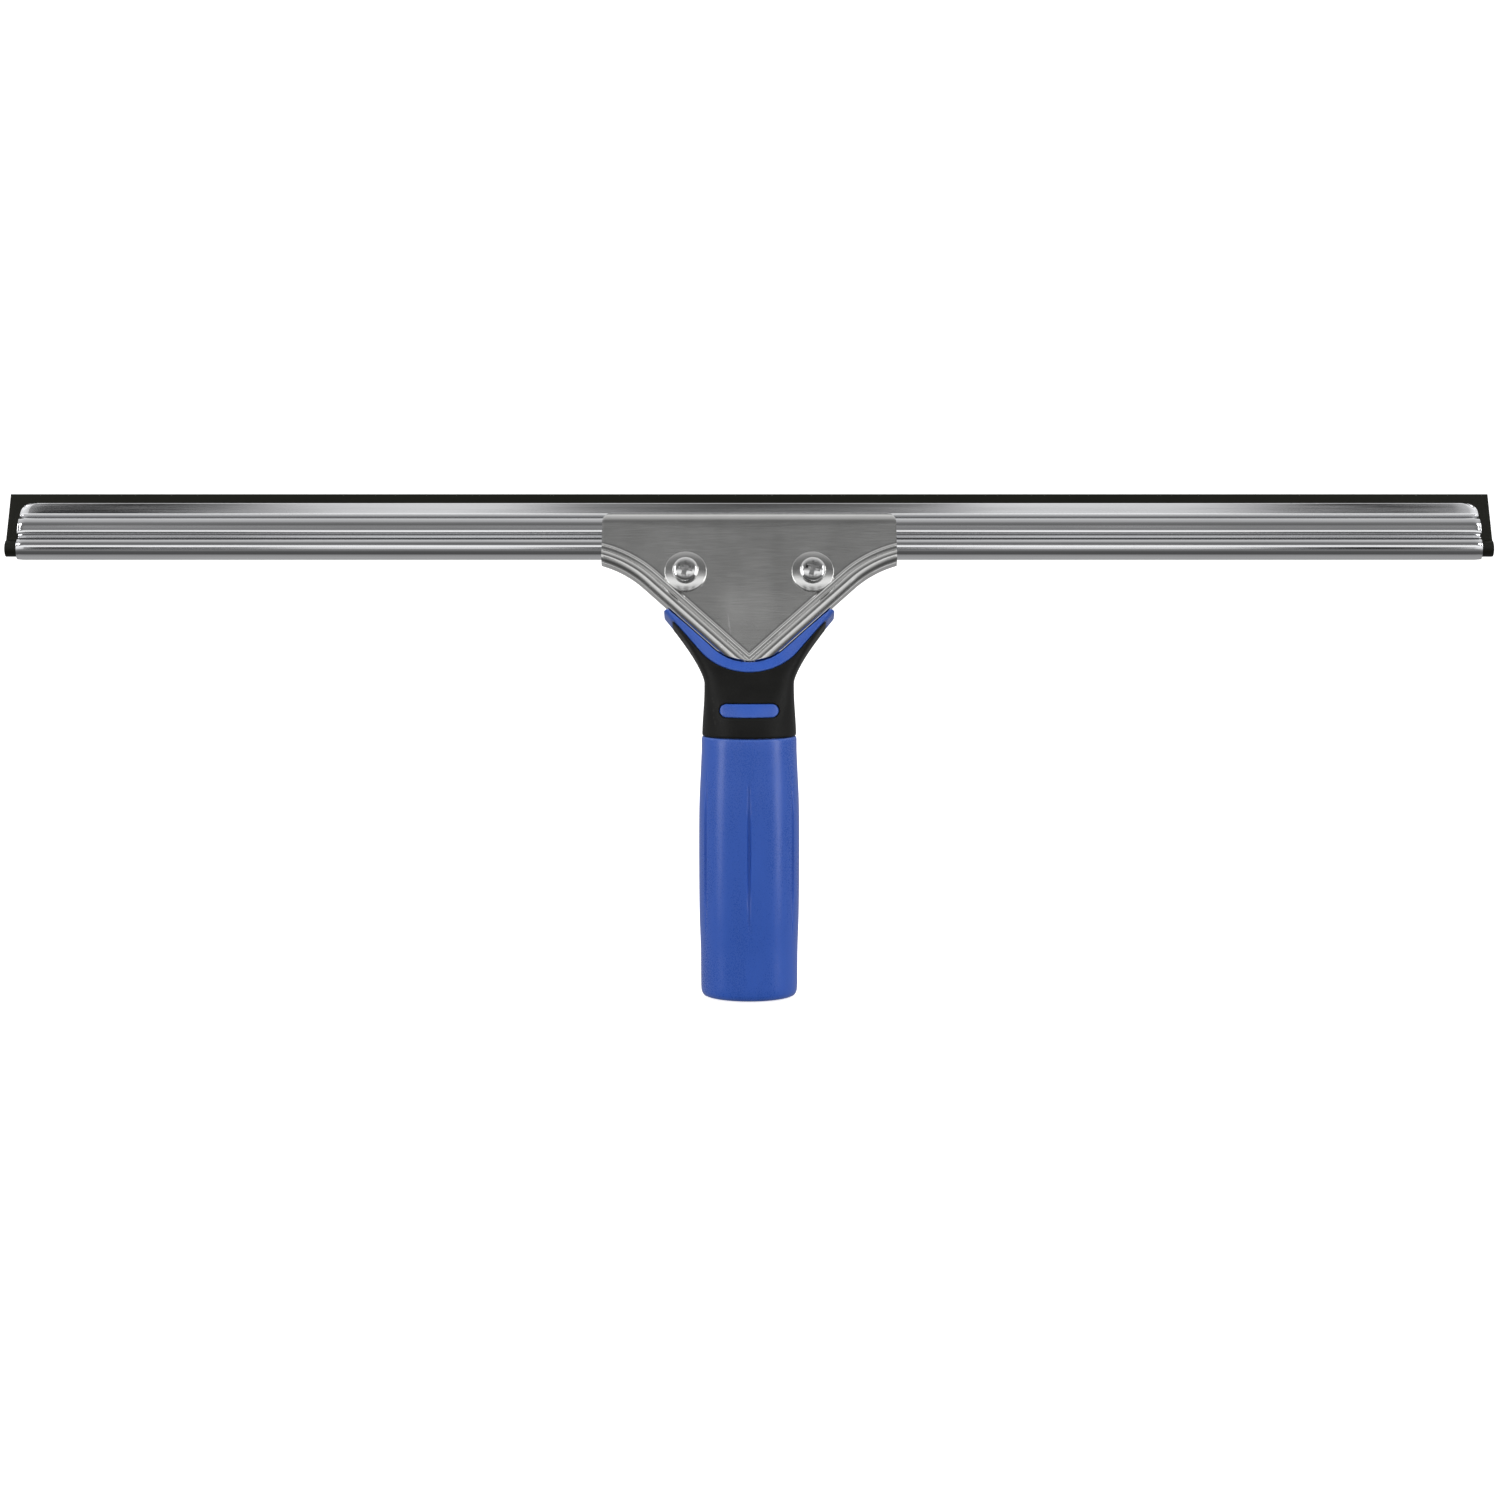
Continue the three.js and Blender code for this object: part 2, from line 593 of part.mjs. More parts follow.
/** Right half of the cradle's outer edge in the head's frame, moved out by grow and run out to tipX. */
function cradleEdge(grow, tipX) {
  const points = [];
  const centreUp = TIP_BOTTOM + TIP_RADIUS;
  const radius = TIP_RADIUS + CRADLE_CENTRE_WIDTH + grow;
  const steps = 7;
  for (let i = 0; i <= steps; i += 1) {
    const angle = (CRADLE_OUTER_ANGLE * i) / steps;
    points.push(new THREE.Vector2(radius * Math.sin(angle), centreUp - radius * Math.cos(angle)));
  }
  const last = points.at(-1);
  const run = tipX - last.x;
  points.push(new THREE.Vector2(last.x + run, last.y + run * Math.tan(CRADLE_OUTER_ANGLE)));
  return points;
}

/** The region of the head's frame above the cradle's outer edge, closed well above the plates. */
function aboveCradle(grow, tipX, top) {
  const edge = bothSides(cradleEdge(grow, tipX));
  const reach = edge.at(-1).x;
  const shape = new THREE.Shape(edge);
  shape.lineTo(reach, top);
  shape.lineTo(-reach, top);
  shape.closePath();
  return shape;
}

/** The region that the plates need inside the cradle. */
function aboveLowerEdge(inset, top) {
  const edge = bothSides(lowerEdge(inset));
  const reach = edge.at(-1).x;
  const shape = new THREE.Shape(edge);
  shape.lineTo(reach, top);
  shape.lineTo(-reach, top);
  shape.closePath();
  return shape;
}

/** The bar that fills the window in the neck, grown by a clearance. */
function windowBar(grow) {
  const shape = new THREE.Shape();
  const half = BAR_HALF_LENGTH - BAR_HALF_HEIGHT;
  const radius = BAR_HALF_HEIGHT + grow;
  shape.absarc(half, BAR_HEIGHT, radius, -Math.PI / 2, Math.PI / 2, false);
  shape.absarc(-half, BAR_HEIGHT, radius, Math.PI / 2, 1.5 * Math.PI, false);
  shape.closePath();
  return solid(slab(shape, -CLEAR_DEPTH, BAR_ROOT, { curveSegments: 6 }));
}

function catchWindow() {
  const shape = new THREE.Shape();
  const radius = CATCH_WIDTH / 2;
  const reach = CATCH_LENGTH / 2 - radius;
  shape.absarc(0, CATCH_HEIGHT + reach, radius, 0, Math.PI, false);
  shape.absarc(0, CATCH_HEIGHT - reach, radius, Math.PI, 2 * Math.PI, false);
  shape.closePath();
  return solid(slab(shape, CATCH_FRONT, CLEAR_DEPTH, { curveSegments: 6 }));
}

/** The socket's outer wall with its tapered bore, and the solid floor above it. */
function socketTube() {
  const mouth = 0.8;
  const top = GRIP_TOP + 2;
  const wall = turned([[0, mouth], [SOCKET_WALL_RADIUS, mouth], [SOCKET_WALL_RADIUS, top], [0, top]], 48);
  const bore = turned(
    [
      [0, mouth - 1],
      [SOCKET_MOUTH_RADIUS + 1.2, mouth - 1],
      [SOCKET_MOUTH_RADIUS, mouth + 1.2],
      [SOCKET_END_RADIUS, SOCKET_DEPTH - 1],
      [SOCKET_END_RADIUS - 1, SOCKET_DEPTH],
      [0, SOCKET_DEPTH],
    ],
    48,
  );
  return solid(wall).subtract(solid(bore));
}

/** Everything that the two plates need free of the core: the rear plate is the smaller one. */
function plateRoom() {
  const front = slab(aboveLowerEdge(-GAP, CLEAR_TOP), -CLEAR_DEPTH, JAW_HALF_GAP);
  const rear = slab(aboveLowerEdge(REAR_RAISE - GAP, CLEAR_TOP), JAW_HALF_GAP - GAP, CLEAR_DEPTH);
  return solid(fromHead(front)).add(solid(fromHead(rear)));
}

/** The block that fills the space between the plates and keeps them apart. */
function plateSpacer() {
  const back = JAW_HALF_GAP - GAP;
  const rooted = solid(fromHead(slab(aboveLowerEdge(-ROOT_GROWTH, CLEAR_TOP), FLANGE_BACK + GAP, back)));
  const raised = solid(fromHead(slab(aboveLowerEdge(BLOCK_INSET, CLEAR_TOP), -JAW_HALF_GAP + GAP, back)));
  const below = solid(fromHead(slab(lowHalf(BLOCK_TOP), -CLEAR_DEPTH, CLEAR_DEPTH)));
  const cradle = solid(fromHead(slab(aboveCradle(0, CRADLE_TIP_X, CLEAR_TOP), -CLEAR_DEPTH, CLEAR_DEPTH)));
  return raised.intersect(below).add(rooted.intersect(neckSolid(SKIN_INSET)).intersect(cradle));
}

function handleCore() {
  const cradleSlab = slab(aboveCradle(0, CRADLE_TIP_X, BLOCK_TOP), -CLEAR_DEPTH, CLEAR_DEPTH);
  const cradle = solid(fromHead(cradleSlab)).intersect(neckSolid(SKIN_INSET));
  const neck = neckSolid(SLEEVE_THICKNESS + GAP).add(cradle).subtract(plateRoom());
  let body = socketTube().add(neck).add(plateSpacer());
  body = body.add(windowBar(0).intersect(neckSolid(SKIN_INSET)));
  body = body.subtract(tang(TANG_SLOT_CLEARANCE));
  for (const height of Object.values(PIN_HEIGHTS)) {
    body = body.subtract(solid(rod(PIN_RADIUS + GAP / 2, 0, height, 0, CLEAR_DEPTH)));
  }
  return geometryOf(body.subtract(catchWindow()));
}

/** A steel pin through the back of the core and the tang. */
function tangPin(height) {
  return rod(PIN_RADIUS, 0, height, GAP, PIN_BACK, 16);
}

function neckSleeve() {
  const cradleRoom = solid(fromHead(slab(aboveCradle(GAP, CLEAR_SIDE, CLEAR_TOP), -CLEAR_DEPTH, CLEAR_DEPTH)));
  const hollow = neckSolid(SLEEVE_THICKNESS);
  return geometryOf(neckSolid(0).subtract(hollow).subtract(cradleRoom).subtract(windowBar(GAP)));
}

function gripSleeve() {
  const profile = [
    [GRIP_BORE_RADIUS, 0],
    [16.4, 0],
    [17.2, 0.6],
    [17.65, 1.8],
    [17.8, 4],
    [17.95, 18],
    [18.4, 32],
    [GRIP_MAX_RADIUS, 53],
    [18.45, 70],
    [17.95, 82],
    [17.6, 90],
    [17.55, GRIP_TOP - 0.6],
    [17.2, GRIP_TOP],
    [GRIP_BORE_RADIUS, GRIP_TOP],
    [GRIP_BORE_RADIUS, 0],
  ];
  let body = solid(turned(profile, 72));
  for (let i = 0; i < GROOVE_COUNT; i += 1) {
    const lens = new THREE.SphereGeometry(1, 8, 14);
    lens.rotateX(Math.PI / 2);
    lens.scale(GROOVE_WIDTH / 2, GROOVE_DEPTH, (GROOVE_HIGH - GROOVE_LOW) / 2);
    lens.translate(0, -GRIP_MAX_RADIUS, (GROOVE_HIGH + GROOVE_LOW) / 2);
    lens.rotateZ((i * 2 * Math.PI) / GROOVE_COUNT);
    body = body.subtract(solid(lens));
  }
  return geometryOf(body.subtract(catchWindow()));
}

// ---- assembly -----------------------------------------------------------------------------------------------

function buildHead() {
  const head = new THREE.Group();
  head.position.copy(HEAD_ORIGIN);
  head.rotation.x = -HEAD_LEAN;
  head.add(piece('squeegee_rubber', squeegeeRubber(), 'rubber'));
  head.add(piece('blade_channel', bladeChannel(), 'polishedSteel'));
  head.add(piece('front_jaw_plate', frontJawPlate(), 'satinSteel'));
  for (const [side, x] of [['left', -SCREW_X], ['right', SCREW_X]]) {
    head.add(piece(`${side}_plain_washer`, plainWasher(x), 'satinSteel'));
    head.add(piece(`${side}_spring_washer`, springWasher(x), 'screwSteel'));
    head.add(piece(`${side}_clamp_screw`, clampScrew(x), 'screwSteel'));
    head.add(piece(`${side}_clamp_nut`, clampNut(x), 'screwSteel'));
  }
  return head;
}

function buildHandle() {
  const handle = new THREE.Group();
  handle.add(piece('rear_jaw_plate', rearJawPlate(), 'satinSteel'));
  handle.add(piece('handle_core', handleCore(), 'bluePlastic'));
  handle.add(piece('neck_sleeve', neckSleeve(), 'blackSleeve'));
  handle.add(piece('grip_sleeve', gripSleeve(), 'bluePlastic'));
  for (const [name, height] of Object.entries(PIN_HEIGHTS)) {
    handle.add(piece(name, tangPin(height), 'screwSteel'));
  }
  return handle;
}

const squeegee = new THREE.Group();
squeegee.add(buildHead(), buildHandle());

export default squeegee;
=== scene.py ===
"""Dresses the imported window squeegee: fine meshes, finishes, camera and studio, in the part's own frame."""

from __future__ import annotations

import json
import logging
import math
from collections.abc import Callable, Iterable
from dataclasses import dataclass
from enum import Enum

import bmesh
import bpy
from bmesh.types import BMEdge, BMesh, BMVert
from bpy.types import Material, Node, NodeTree, Object
from mathutils import Matrix, Vector


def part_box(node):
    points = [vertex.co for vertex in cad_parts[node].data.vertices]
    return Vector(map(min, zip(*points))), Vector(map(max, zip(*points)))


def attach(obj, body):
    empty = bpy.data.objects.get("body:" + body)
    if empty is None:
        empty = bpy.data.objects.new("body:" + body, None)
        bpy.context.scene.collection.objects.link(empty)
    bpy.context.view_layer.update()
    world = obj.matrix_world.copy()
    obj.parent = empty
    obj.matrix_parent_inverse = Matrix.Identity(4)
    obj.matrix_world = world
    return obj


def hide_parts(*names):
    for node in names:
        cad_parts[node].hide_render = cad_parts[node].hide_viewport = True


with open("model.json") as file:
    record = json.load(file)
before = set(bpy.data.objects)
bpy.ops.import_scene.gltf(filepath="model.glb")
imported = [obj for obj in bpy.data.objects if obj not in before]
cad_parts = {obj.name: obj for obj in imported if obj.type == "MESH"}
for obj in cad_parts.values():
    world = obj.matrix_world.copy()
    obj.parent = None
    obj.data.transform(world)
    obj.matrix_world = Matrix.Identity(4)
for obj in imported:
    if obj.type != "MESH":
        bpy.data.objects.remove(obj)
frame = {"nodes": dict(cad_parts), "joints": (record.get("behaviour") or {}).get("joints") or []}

LOG = logging.getLogger("squeegee")
MM = 0.001
FULL_TURN = 2 * math.pi


class Cut(Enum):
    """How one solid changes another."""

    JOIN = "UNION"
    REMOVE = "DIFFERENCE"
    KEEP = "INTERSECT"


class ColourMix(Enum):
    """Places of the colour sockets on a mix node, which has others of the same names."""

    FACTOR = 0
    FIRST = 6
    SECOND = 7
    RESULT = 2


class Side(Enum):
    """Which of the two clamp screws, by the sign of its X."""

    LEFT = -1
    RIGHT = 1


class Facing(Enum):
    """Which of the two jaw plates, by the sign of its depth towards the front."""

    FRONT = 1
    REAR = -1


# ---- finishes ---------------------------------------------------------------------------------------------


@dataclass(frozen=True)
class Grain:
    """A noise pattern on a surface, stretched along the part's axes.

    Args:
        scale: Cells per metre along X, Y and Z.
        detail: Octaves of finer noise.
        depth: Height of the bump it gives, in metres.
        tone: Share by which it lightens and darkens the colour.
        gloss: Amount by which it raises and lowers the roughness.
    """

    scale: tuple[float, float, float]
    detail: float = 3.0
    depth: float = 0.0
    tone: float = 0.0
    gloss: float = 0.0


@dataclass(frozen=True)
class Finish:
    """One surface finish: a base colour and gloss, varied by grain, with lighter worn edges.

    Args:
        name: Name of the material.
        colour: Linear base colour.
        roughness: Middle roughness.
        metallic: One for bare metal.
        grains: Patterns from the coarsest to the finest.
        worn: Linear colour of rubbed edges.
        wear: Share of the worn colour on the sharpest edges.
        specular: Strength of the mirror reflection on a plastic.
    """

    name: str
    colour: tuple[float, float, float]
    roughness: float
    metallic: float = 0.0
    grains: tuple[Grain, ...] = ()
    worn: tuple[float, float, float] = (0.5, 0.5, 0.5)
    wear: float = 0.0
    specular: float = 0.5

    def material(self) -> Material:
        """Makes the material, or finds it if it is already made.

        Returns:
            The node material.
        """
        known = bpy.data.materials.get(self.name)
        if known:
            return known
        material = bpy.data.materials.new(self.name)
        material.use_nodes = True
        tree = material.node_tree
        shader = tree.nodes["Principled BSDF"]
        shader.inputs["Base Color"].default_value = (*self.colour, 1)
        shader.inputs["Roughness"].default_value = self.roughness
        shader.inputs["Metallic"].default_value = self.metallic
        shader.inputs["Specular IOR Level"].default_value = self.specular
        self._wire_grains(tree, shader)
        return material

    def _wire_grains(self, tree: NodeTree, shader: Node) -> None:
        """Links every grain to colour, roughness and bump.

        Args:
            tree: The material's node tree.
            shader: Its shader node.
        """
        place = tree.nodes.new("ShaderNodeTexCoord").outputs["Object"]
        colour = tree.nodes.new("ShaderNodeRGB")
        colour.outputs[0].default_value = (*self.colour, 1)
        tint = colour.outputs[0]
        rough = None
        normal = None
        for grain in self.grains:
            noise = self._noise(tree, place, grain)
            if grain.tone:
                tint = _mix(tree, tint, _ranged(tree, noise, 1 - grain.tone, 1 + grain.tone), "MULTIPLY")
            if grain.gloss:
                swing = _ranged(tree, noise, -grain.gloss, grain.gloss)
                rough = _sum(tree, self.roughness if rough is None else rough, swing)
            if grain.depth:
                bump = tree.nodes.new("ShaderNodeBump")
                bump.inputs["Distance"].default_value = grain.depth
                tree.links.new(noise, bump.inputs["Height"])
                if normal:
                    tree.links.new(normal, bump.inputs["Normal"])
                normal = bump.outputs[0]
        if self.wear:
            tint = self._worn_edges(tree, tint)
        tree.links.new(tint, shader.inputs["Base Color"])
        if rough:
            tree.links.new(rough, shader.inputs["Roughness"])
        if normal:
            tree.links.new(normal, shader.inputs["Normal"])

    def _worn_edges(self, tree: NodeTree, tint: bpy.types.NodeSocket) -> bpy.types.NodeSocket:
        """Lightens the convex edges.

        Args:
            tree: The material's node tree.
            tint: The colour so far.

        Returns:
            The colour with worn edges.
        """
        geometry = tree.nodes.new("ShaderNodeNewGeometry")
        edge = _ranged(tree, geometry.outputs["Pointiness"], 0.0, self.wear, (0.52, 0.6))
        worn = tree.nodes.new("ShaderNodeMix")
        worn.data_type = "RGBA"
        tree.links.new(edge, worn.inputs[ColourMix.FACTOR.value])
        tree.links.new(tint, worn.inputs[ColourMix.FIRST.value])
        worn.inputs[ColourMix.SECOND.value].default_value = (*self.worn, 1)
        return worn.outputs[ColourMix.RESULT.value]

    @staticmethod
    def _noise(tree: NodeTree, place: bpy.types.NodeSocket, grain: Grain) -> bpy.types.NodeSocket:
        """Adds one stretched noise pattern.

        Args:
            tree: The material's node tree.
            place: The coordinates that it reads.
            grain: Its sizes.

        Returns:
            The pattern's value, from 0 to 1.
        """
        mapping = tree.nodes.new("ShaderNodeMapping")
        mapping.inputs["Scale"].default_value = grain.scale
        tree.links.new(place, mapping.inputs["Vector"])
        noise = tree.nodes.new("ShaderNodeTexNoise")
        noise.inputs["Scale"].default_value = 1.0
        noise.inputs["Detail"].default_value = grain.detail
        tree.links.new(mapping.outputs[0], noise.inputs["Vector"])
        return noise.outputs[0]


def _ranged(
    tree: NodeTree,
    value: bpy.types.NodeSocket,
    low: float,
    high: float,
    source: tuple[float, float] = (0.3, 0.7),
) -> bpy.types.NodeSocket:
    """Spreads a value from a source range to low and high, and returns the result's socket."""
    spread = tree.nodes.new("ShaderNodeMapRange")
    spread.inputs["From Min"].default_value = source[0]
    spread.inputs["From Max"].default_value = source[1]
    spread.inputs["To Min"].default_value = low
    spread.inputs["To Max"].default_value = high
    tree.links.new(value, spread.inputs["Value"])
    return spread.outputs[0]


def _mix(
    tree: NodeTree, a: bpy.types.NodeSocket, b: bpy.types.NodeSocket, blend: str
) -> bpy.types.NodeSocket:
    """Mixes two colours whole with a blend type, and returns the result's socket."""
    mix = tree.nodes.new("ShaderNodeMix")
    mix.data_type = "RGBA"
    mix.blend_type = blend
    mix.inputs[ColourMix.FACTOR.value].default_value = 1.0
    tree.links.new(a, mix.inputs[ColourMix.FIRST.value])
    tree.links.new(b, mix.inputs[ColourMix.SECOND.value])
    return mix.outputs[ColourMix.RESULT.value]


def _sum(tree: NodeTree, a: bpy.types.NodeSocket | float, b: bpy.types.NodeSocket) -> bpy.types.NodeSocket:
    """Adds a value or number to another value, and returns the result's socket."""
    add = tree.nodes.new("ShaderNodeMath")
    if isinstance(a, float):
        add.inputs[0].default_value = a
    else:
        tree.links.new(a, add.inputs[0])
    tree.links.new(b, add.inputs[1])
    return add.outputs[0]


MIRROR_STEEL = Finish(
    "mirror_steel_finish",
    (0.74, 0.745, 0.76),
    0.10,
    1.0,
    (
        Grain((14.0, 260.0, 420.0), 4.0, tone=0.05, gloss=0.035),
        Grain((25.0, 5000.0, 5000.0), 3.0, depth=0.0000015, gloss=0.02),
    ),
    worn=(0.9, 0.9, 0.92),
    wear=0.4,
)
SATIN_STEEL = Finish(
    "satin_steel_finish",
    (0.62, 0.62, 0.612),
    0.19,
    1.0,
    (
        Grain((60.0, 60.0, 40.0), 4.0, tone=0.04, gloss=0.02),
        Grain((120.0, 4200.0, 4200.0), 3.0, depth=0.000004, tone=0.03, gloss=0.03),
        Grain((2600.0, 2600.0, 2600.0), 2.0, depth=0.000004),
    ),
    worn=(0.85, 0.85, 0.85),
    wear=0.5,
)
SCREW_STEEL = Finish(
    "screw_steel_finish",
    (0.68, 0.68, 0.68),
    0.16,
    1.0,
    (
        Grain((900.0, 900.0, 900.0), 4.0, depth=0.00001, tone=0.06, gloss=0.06),
        Grain((4500.0, 4500.0, 4500.0), 2.0, depth=0.000006),
    ),
    worn=(0.95, 0.95, 0.95),
    wear=0.5,
)
BLUE_PLASTIC = Finish(
    "blue_plastic_finish",
    (0.034, 0.105, 0.470),
    0.30,
    0.0,
    (
        Grain((90.0, 90.0, 30.0), 3.0, tone=0.05, gloss=0.04),
        Grain((2400.0, 2400.0, 2400.0), 3.0, depth=0.00002, tone=0.04, gloss=0.05),
    ),
    worn=(0.12, 0.22, 0.55),
    wear=0.5,
    specular=0.35,
)
BLACK_SLEEVE = Finish(
    "black_sleeve_finish",
    (0.0085, 0.0085, 0.008),
    0.5,
    0.0,
    (
        Grain((120.0, 120.0, 120.0), 4.0, tone=0.15, gloss=0.05),
        Grain((2000.0, 2000.0, 2000.0), 4.0, depth=0.00005, tone=0.12, gloss=0.08),
    ),
    worn=(0.03, 0.03, 0.029),
    wear=0.4,
    specular=0.13,
)
BLADE_RUBBER = Finish(
    "blade_rubber_finish",
    (0.0050, 0.0052, 0.0025),
    0.5,
    0.0,
    (
        Grain((30.0, 300.0, 300.0), 4.0, tone=0.2, gloss=0.08),
        Grain((1500.0, 1800.0, 1800.0), 3.0, depth=0.00002, tone=0.1),
    ),
    worn=(0.02, 0.02, 0.017),
    wear=0.4,
    specular=0.12,
)


# ---- bench: shaping and setting out -----------------------------------------------------------------------


@dataclass(frozen=True)
class Bench:
    """Turns shaped meshes into finished pieces of the object."""

    def piece(
        self,
        bm: BMesh,
        name: str,
        body: str,
        finish: Finish,
        slot: str,
        nodes: Iterable[str] = (),
        sharp: float = 35.0,
    ) -> Object:
        """Makes a piece out of a mesh in millimetres and sends it with its body.

        Args:
            bm: The mesh, which is freed.
            name: The piece's name.
            body: The CAD body that it rides on.
            finish: Its finish.
            slot: The record's material slot.
            nodes: The CAD nodes that it stands for.
            sharp: Angle in degrees past which an edge is drawn sharp.

        Returns:
            The finished object.
        """
        obj = self.blank(bm, name)
        return self.hand_over(obj, body, finish, slot, nodes, sharp)

    def blank(self, bm: BMesh, name: str) -> Object:
        """Closes up a mesh in millimetres and links it as an object in metres, at the origin."""
        bmesh.ops.remove_doubles(bm, verts=bm.verts, dist=0.0005)
        bmesh.ops.recalc_face_normals(bm, faces=bm.faces)
        bmesh.ops.scale(bm, vec=(MM, MM, MM), verts=bm.verts)
        mesh = bpy.data.meshes.new(name)
        bm.to_mesh(mesh)
        bm.free()
        obj = bpy.data.objects.new(name, mesh)
        bpy.context.scene.collection.objects.link(obj)
        return obj

    def hand_over(
        self, obj: Object, body: str, finish: Finish, slot: str, nodes: Iterable[str], sharp: float = 35.0
    ) -> Object:
        """Gives an object its finish and its body, and hides the CAD nodes that it stands for.

        Args:
            obj: The shaped object.
            body: The CAD body that it rides on.
            finish: Its finish.
            slot: The record's material slot; not used.
            nodes: The CAD nodes that it stands for.
            sharp: Angle in degrees past which an edge is drawn sharp.

        Returns:
            The same object.
        """
        obj.data.materials.clear()
        obj.data.materials.append(finish.material())
        obj.data.shade_smooth()
        obj.data.set_sharp_from_angle(angle=math.radians(sharp))
        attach(obj, body)
        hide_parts(*nodes)
        LOG.info("%s: %d faces on %s", obj.name, len(obj.data.polygons), body)
        return obj

    def settle(self, obj: Object) -> None:
        """Makes an object's modifiers part of its mesh."""
        graph = bpy.context.evaluated_depsgraph_get()
        settled = bpy.data.meshes.new_from_object(obj.evaluated_get(graph))
        obj.modifiers.clear()
        obj.data = settled

    def work(self, obj: Object, tool: Object, cut: Cut) -> Object:
        """Joins, removes or keeps what a second solid covers, and throws that solid away."""
        change = obj.modifiers.new("cut", "BOOLEAN")
        change.operation = cut.value
        change.solver = "EXACT"
        change.object = tool
        self.settle(obj)
        bpy.data.objects.remove(tool)
        return obj

    def gather(self, obj: Object, others: Iterable[Object]) -> Object:
        """Adds other solids' meshes to an object's own, to be moulded into one."""
        bm = bmesh.new()
        bm.from_mesh(obj.data)
        for other in others:
            bm.from_mesh(other.data)
            bpy.data.objects.remove(other)
        bm.to_mesh(obj.data)
        bm.free()
        return obj

    def moulded(self, obj: Object, cell: float, smoothing: int) -> Object:
        """Rounds every edge of a solid a little, as a mould does.

        Args:
            obj: A closed solid.
            cell: Size of the mesh's cells in millimetres.
            smoothing: Passes that soften the edges.

        Returns:
            The same object.
        """
        skin = obj.modifiers.new("skin", "REMESH")
        skin.mode = "VOXEL"
        skin.voxel_size = cell * MM
        soft = obj.modifiers.new("soft", "SMOOTH")
        soft.factor = 0.5
        soft.iterations = smoothing
        self.settle(obj)
        return obj


def wire(bm: BMesh, points: Iterable[Vector], closed: bool = False) -> list[BMEdge]:
    """Joins a few points with edges, end to end, and returns the edges."""
    verts = [bm.verts.new(point) for point in points]
    ends = verts[1:] + verts[:1] if closed else verts[1:]
    return [bm.edges.new(pair) for pair in zip(verts, ends)]


def pull(bm: BMesh, edges: list[BMEdge], place: Callable[[BMVert], Vector]) -> list[BMEdge]:
    """Extrudes edges, puts each new vertex in its place, and returns the new edges.

    Args:
        bm: The mesh.
        edges: The edges to draw out.
        place: Gives a new vertex its position.

    Returns:
        The new edges, in no set order.
    """
    grown = bmesh.ops.extrude_edge_only(bm, edges=edges)["geom"]
    for vert in grown:
        if isinstance(vert, BMVert):
            vert.co = place(vert)
    return [edge for edge in grown if isinstance(edge, BMEdge)]


def turned(profile: Iterable[tuple[float, float]], steps: int, closed: bool = False) -> BMesh:
    """Spins a profile of (radius, height) pairs all the way round Z."""
    bm = bmesh.new()
    wire(bm, [Vector((radius, 0, height)) for radius, height in profile], closed)
    bmesh.ops.spin(
        bm,
        geom=bm.verts[:] + bm.edges[:],
        cent=(0, 0, 0),
        axis=(0, 0, 1),
        dvec=(0, 0, 0),
        angle=FULL_TURN,
        steps=steps,
        use_merge=True,
    )
    bmesh.ops.remove_doubles(bm, verts=bm.verts, dist=0.0005)
    bmesh.ops.recalc_face_normals(bm, faces=bm.faces)
    return bm


def prism(outline: Iterable[Vector], along: Vector) -> BMesh:
    """Extrudes a flat outline along a vector into a closed solid."""
    bm = bmesh.new()
    face = bm.faces.new([bm.verts.new(point) for point in outline])
    grown = bmesh.ops.extrude_face_region(bm, geom=[face])["geom"]
    bmesh.ops.translate(bm, vec=along, verts=[item for item in grown if isinstance(item, BMVert)])
    bmesh.ops.recalc_face_normals(bm, faces=bm.faces)
    return bm


def soften(bm: BMesh, width: float, angle: float = 50.0, segments: int = 2) -> None:
    """Rounds every edge that turns by more than an angle in degrees."""
    limit = math.radians(angle)
    edges = [edge for edge in bm.edges if edge.is_manifold and edge.calc_face_angle() > limit]
    bmesh.ops.bevel(
        bm,
        geom=edges,
        offset=width,
        offset_type="OFFSET",
        affect="EDGES",
        segments=segments,
        profile=0.5,
        material=-1,
        clamp_overlap=True,
    )


def arc(
    centre: tuple[float, float], radius: float, start: float, end: float, steps: int
) -> list[tuple[float, float]]:
    """Points of an arc between two angles in degrees, both ends included."""
    angles = [math.radians(start + (end - start) * i / steps) for i in range(steps + 1)]
    return [(centre[0] + radius * math.cos(a), centre[1] + radius * math.sin(a)) for a in angles]


def flowing(keys: list[tuple[float, float]], steps: int) -> list[tuple[float, float]]:
    """Runs a smooth curve through key points, with steps between each two."""
    padded = [keys[0], *keys, keys[-1]]
    points = [keys[0]]
    for a, b, c, d in zip(padded, padded[1:], padded[2:], padded[3:]):
        for i in range(1, steps + 1):
            t = i / steps
            points.append(tuple(_between(*values, t) for values in zip(a, b, c, d)))
    return points


def _between(a: float, b: float, c: float, d: float, t: float) -> float:
    """The value a share t of the way from b to c, on the smooth curve that also passes a and d."""
    bend = (2 * a - 5 * b + 4 * c - d) * t * t
    twist = (3 * b - a - 3 * c + d) * t**3
    return 0.5 * (2 * b + (c - a) * t + bend + twist)


def eased(value: float, low: float, high: float) -> float:
    """Smooth blend from 0 to 1 as a value goes from low to high."""
    t = min(1.0, max(0.0, (value - low) / (high - low)))
    return t * t * (3 - 2 * t)


# ---- head -------------------------------------------------------------------------------------------------


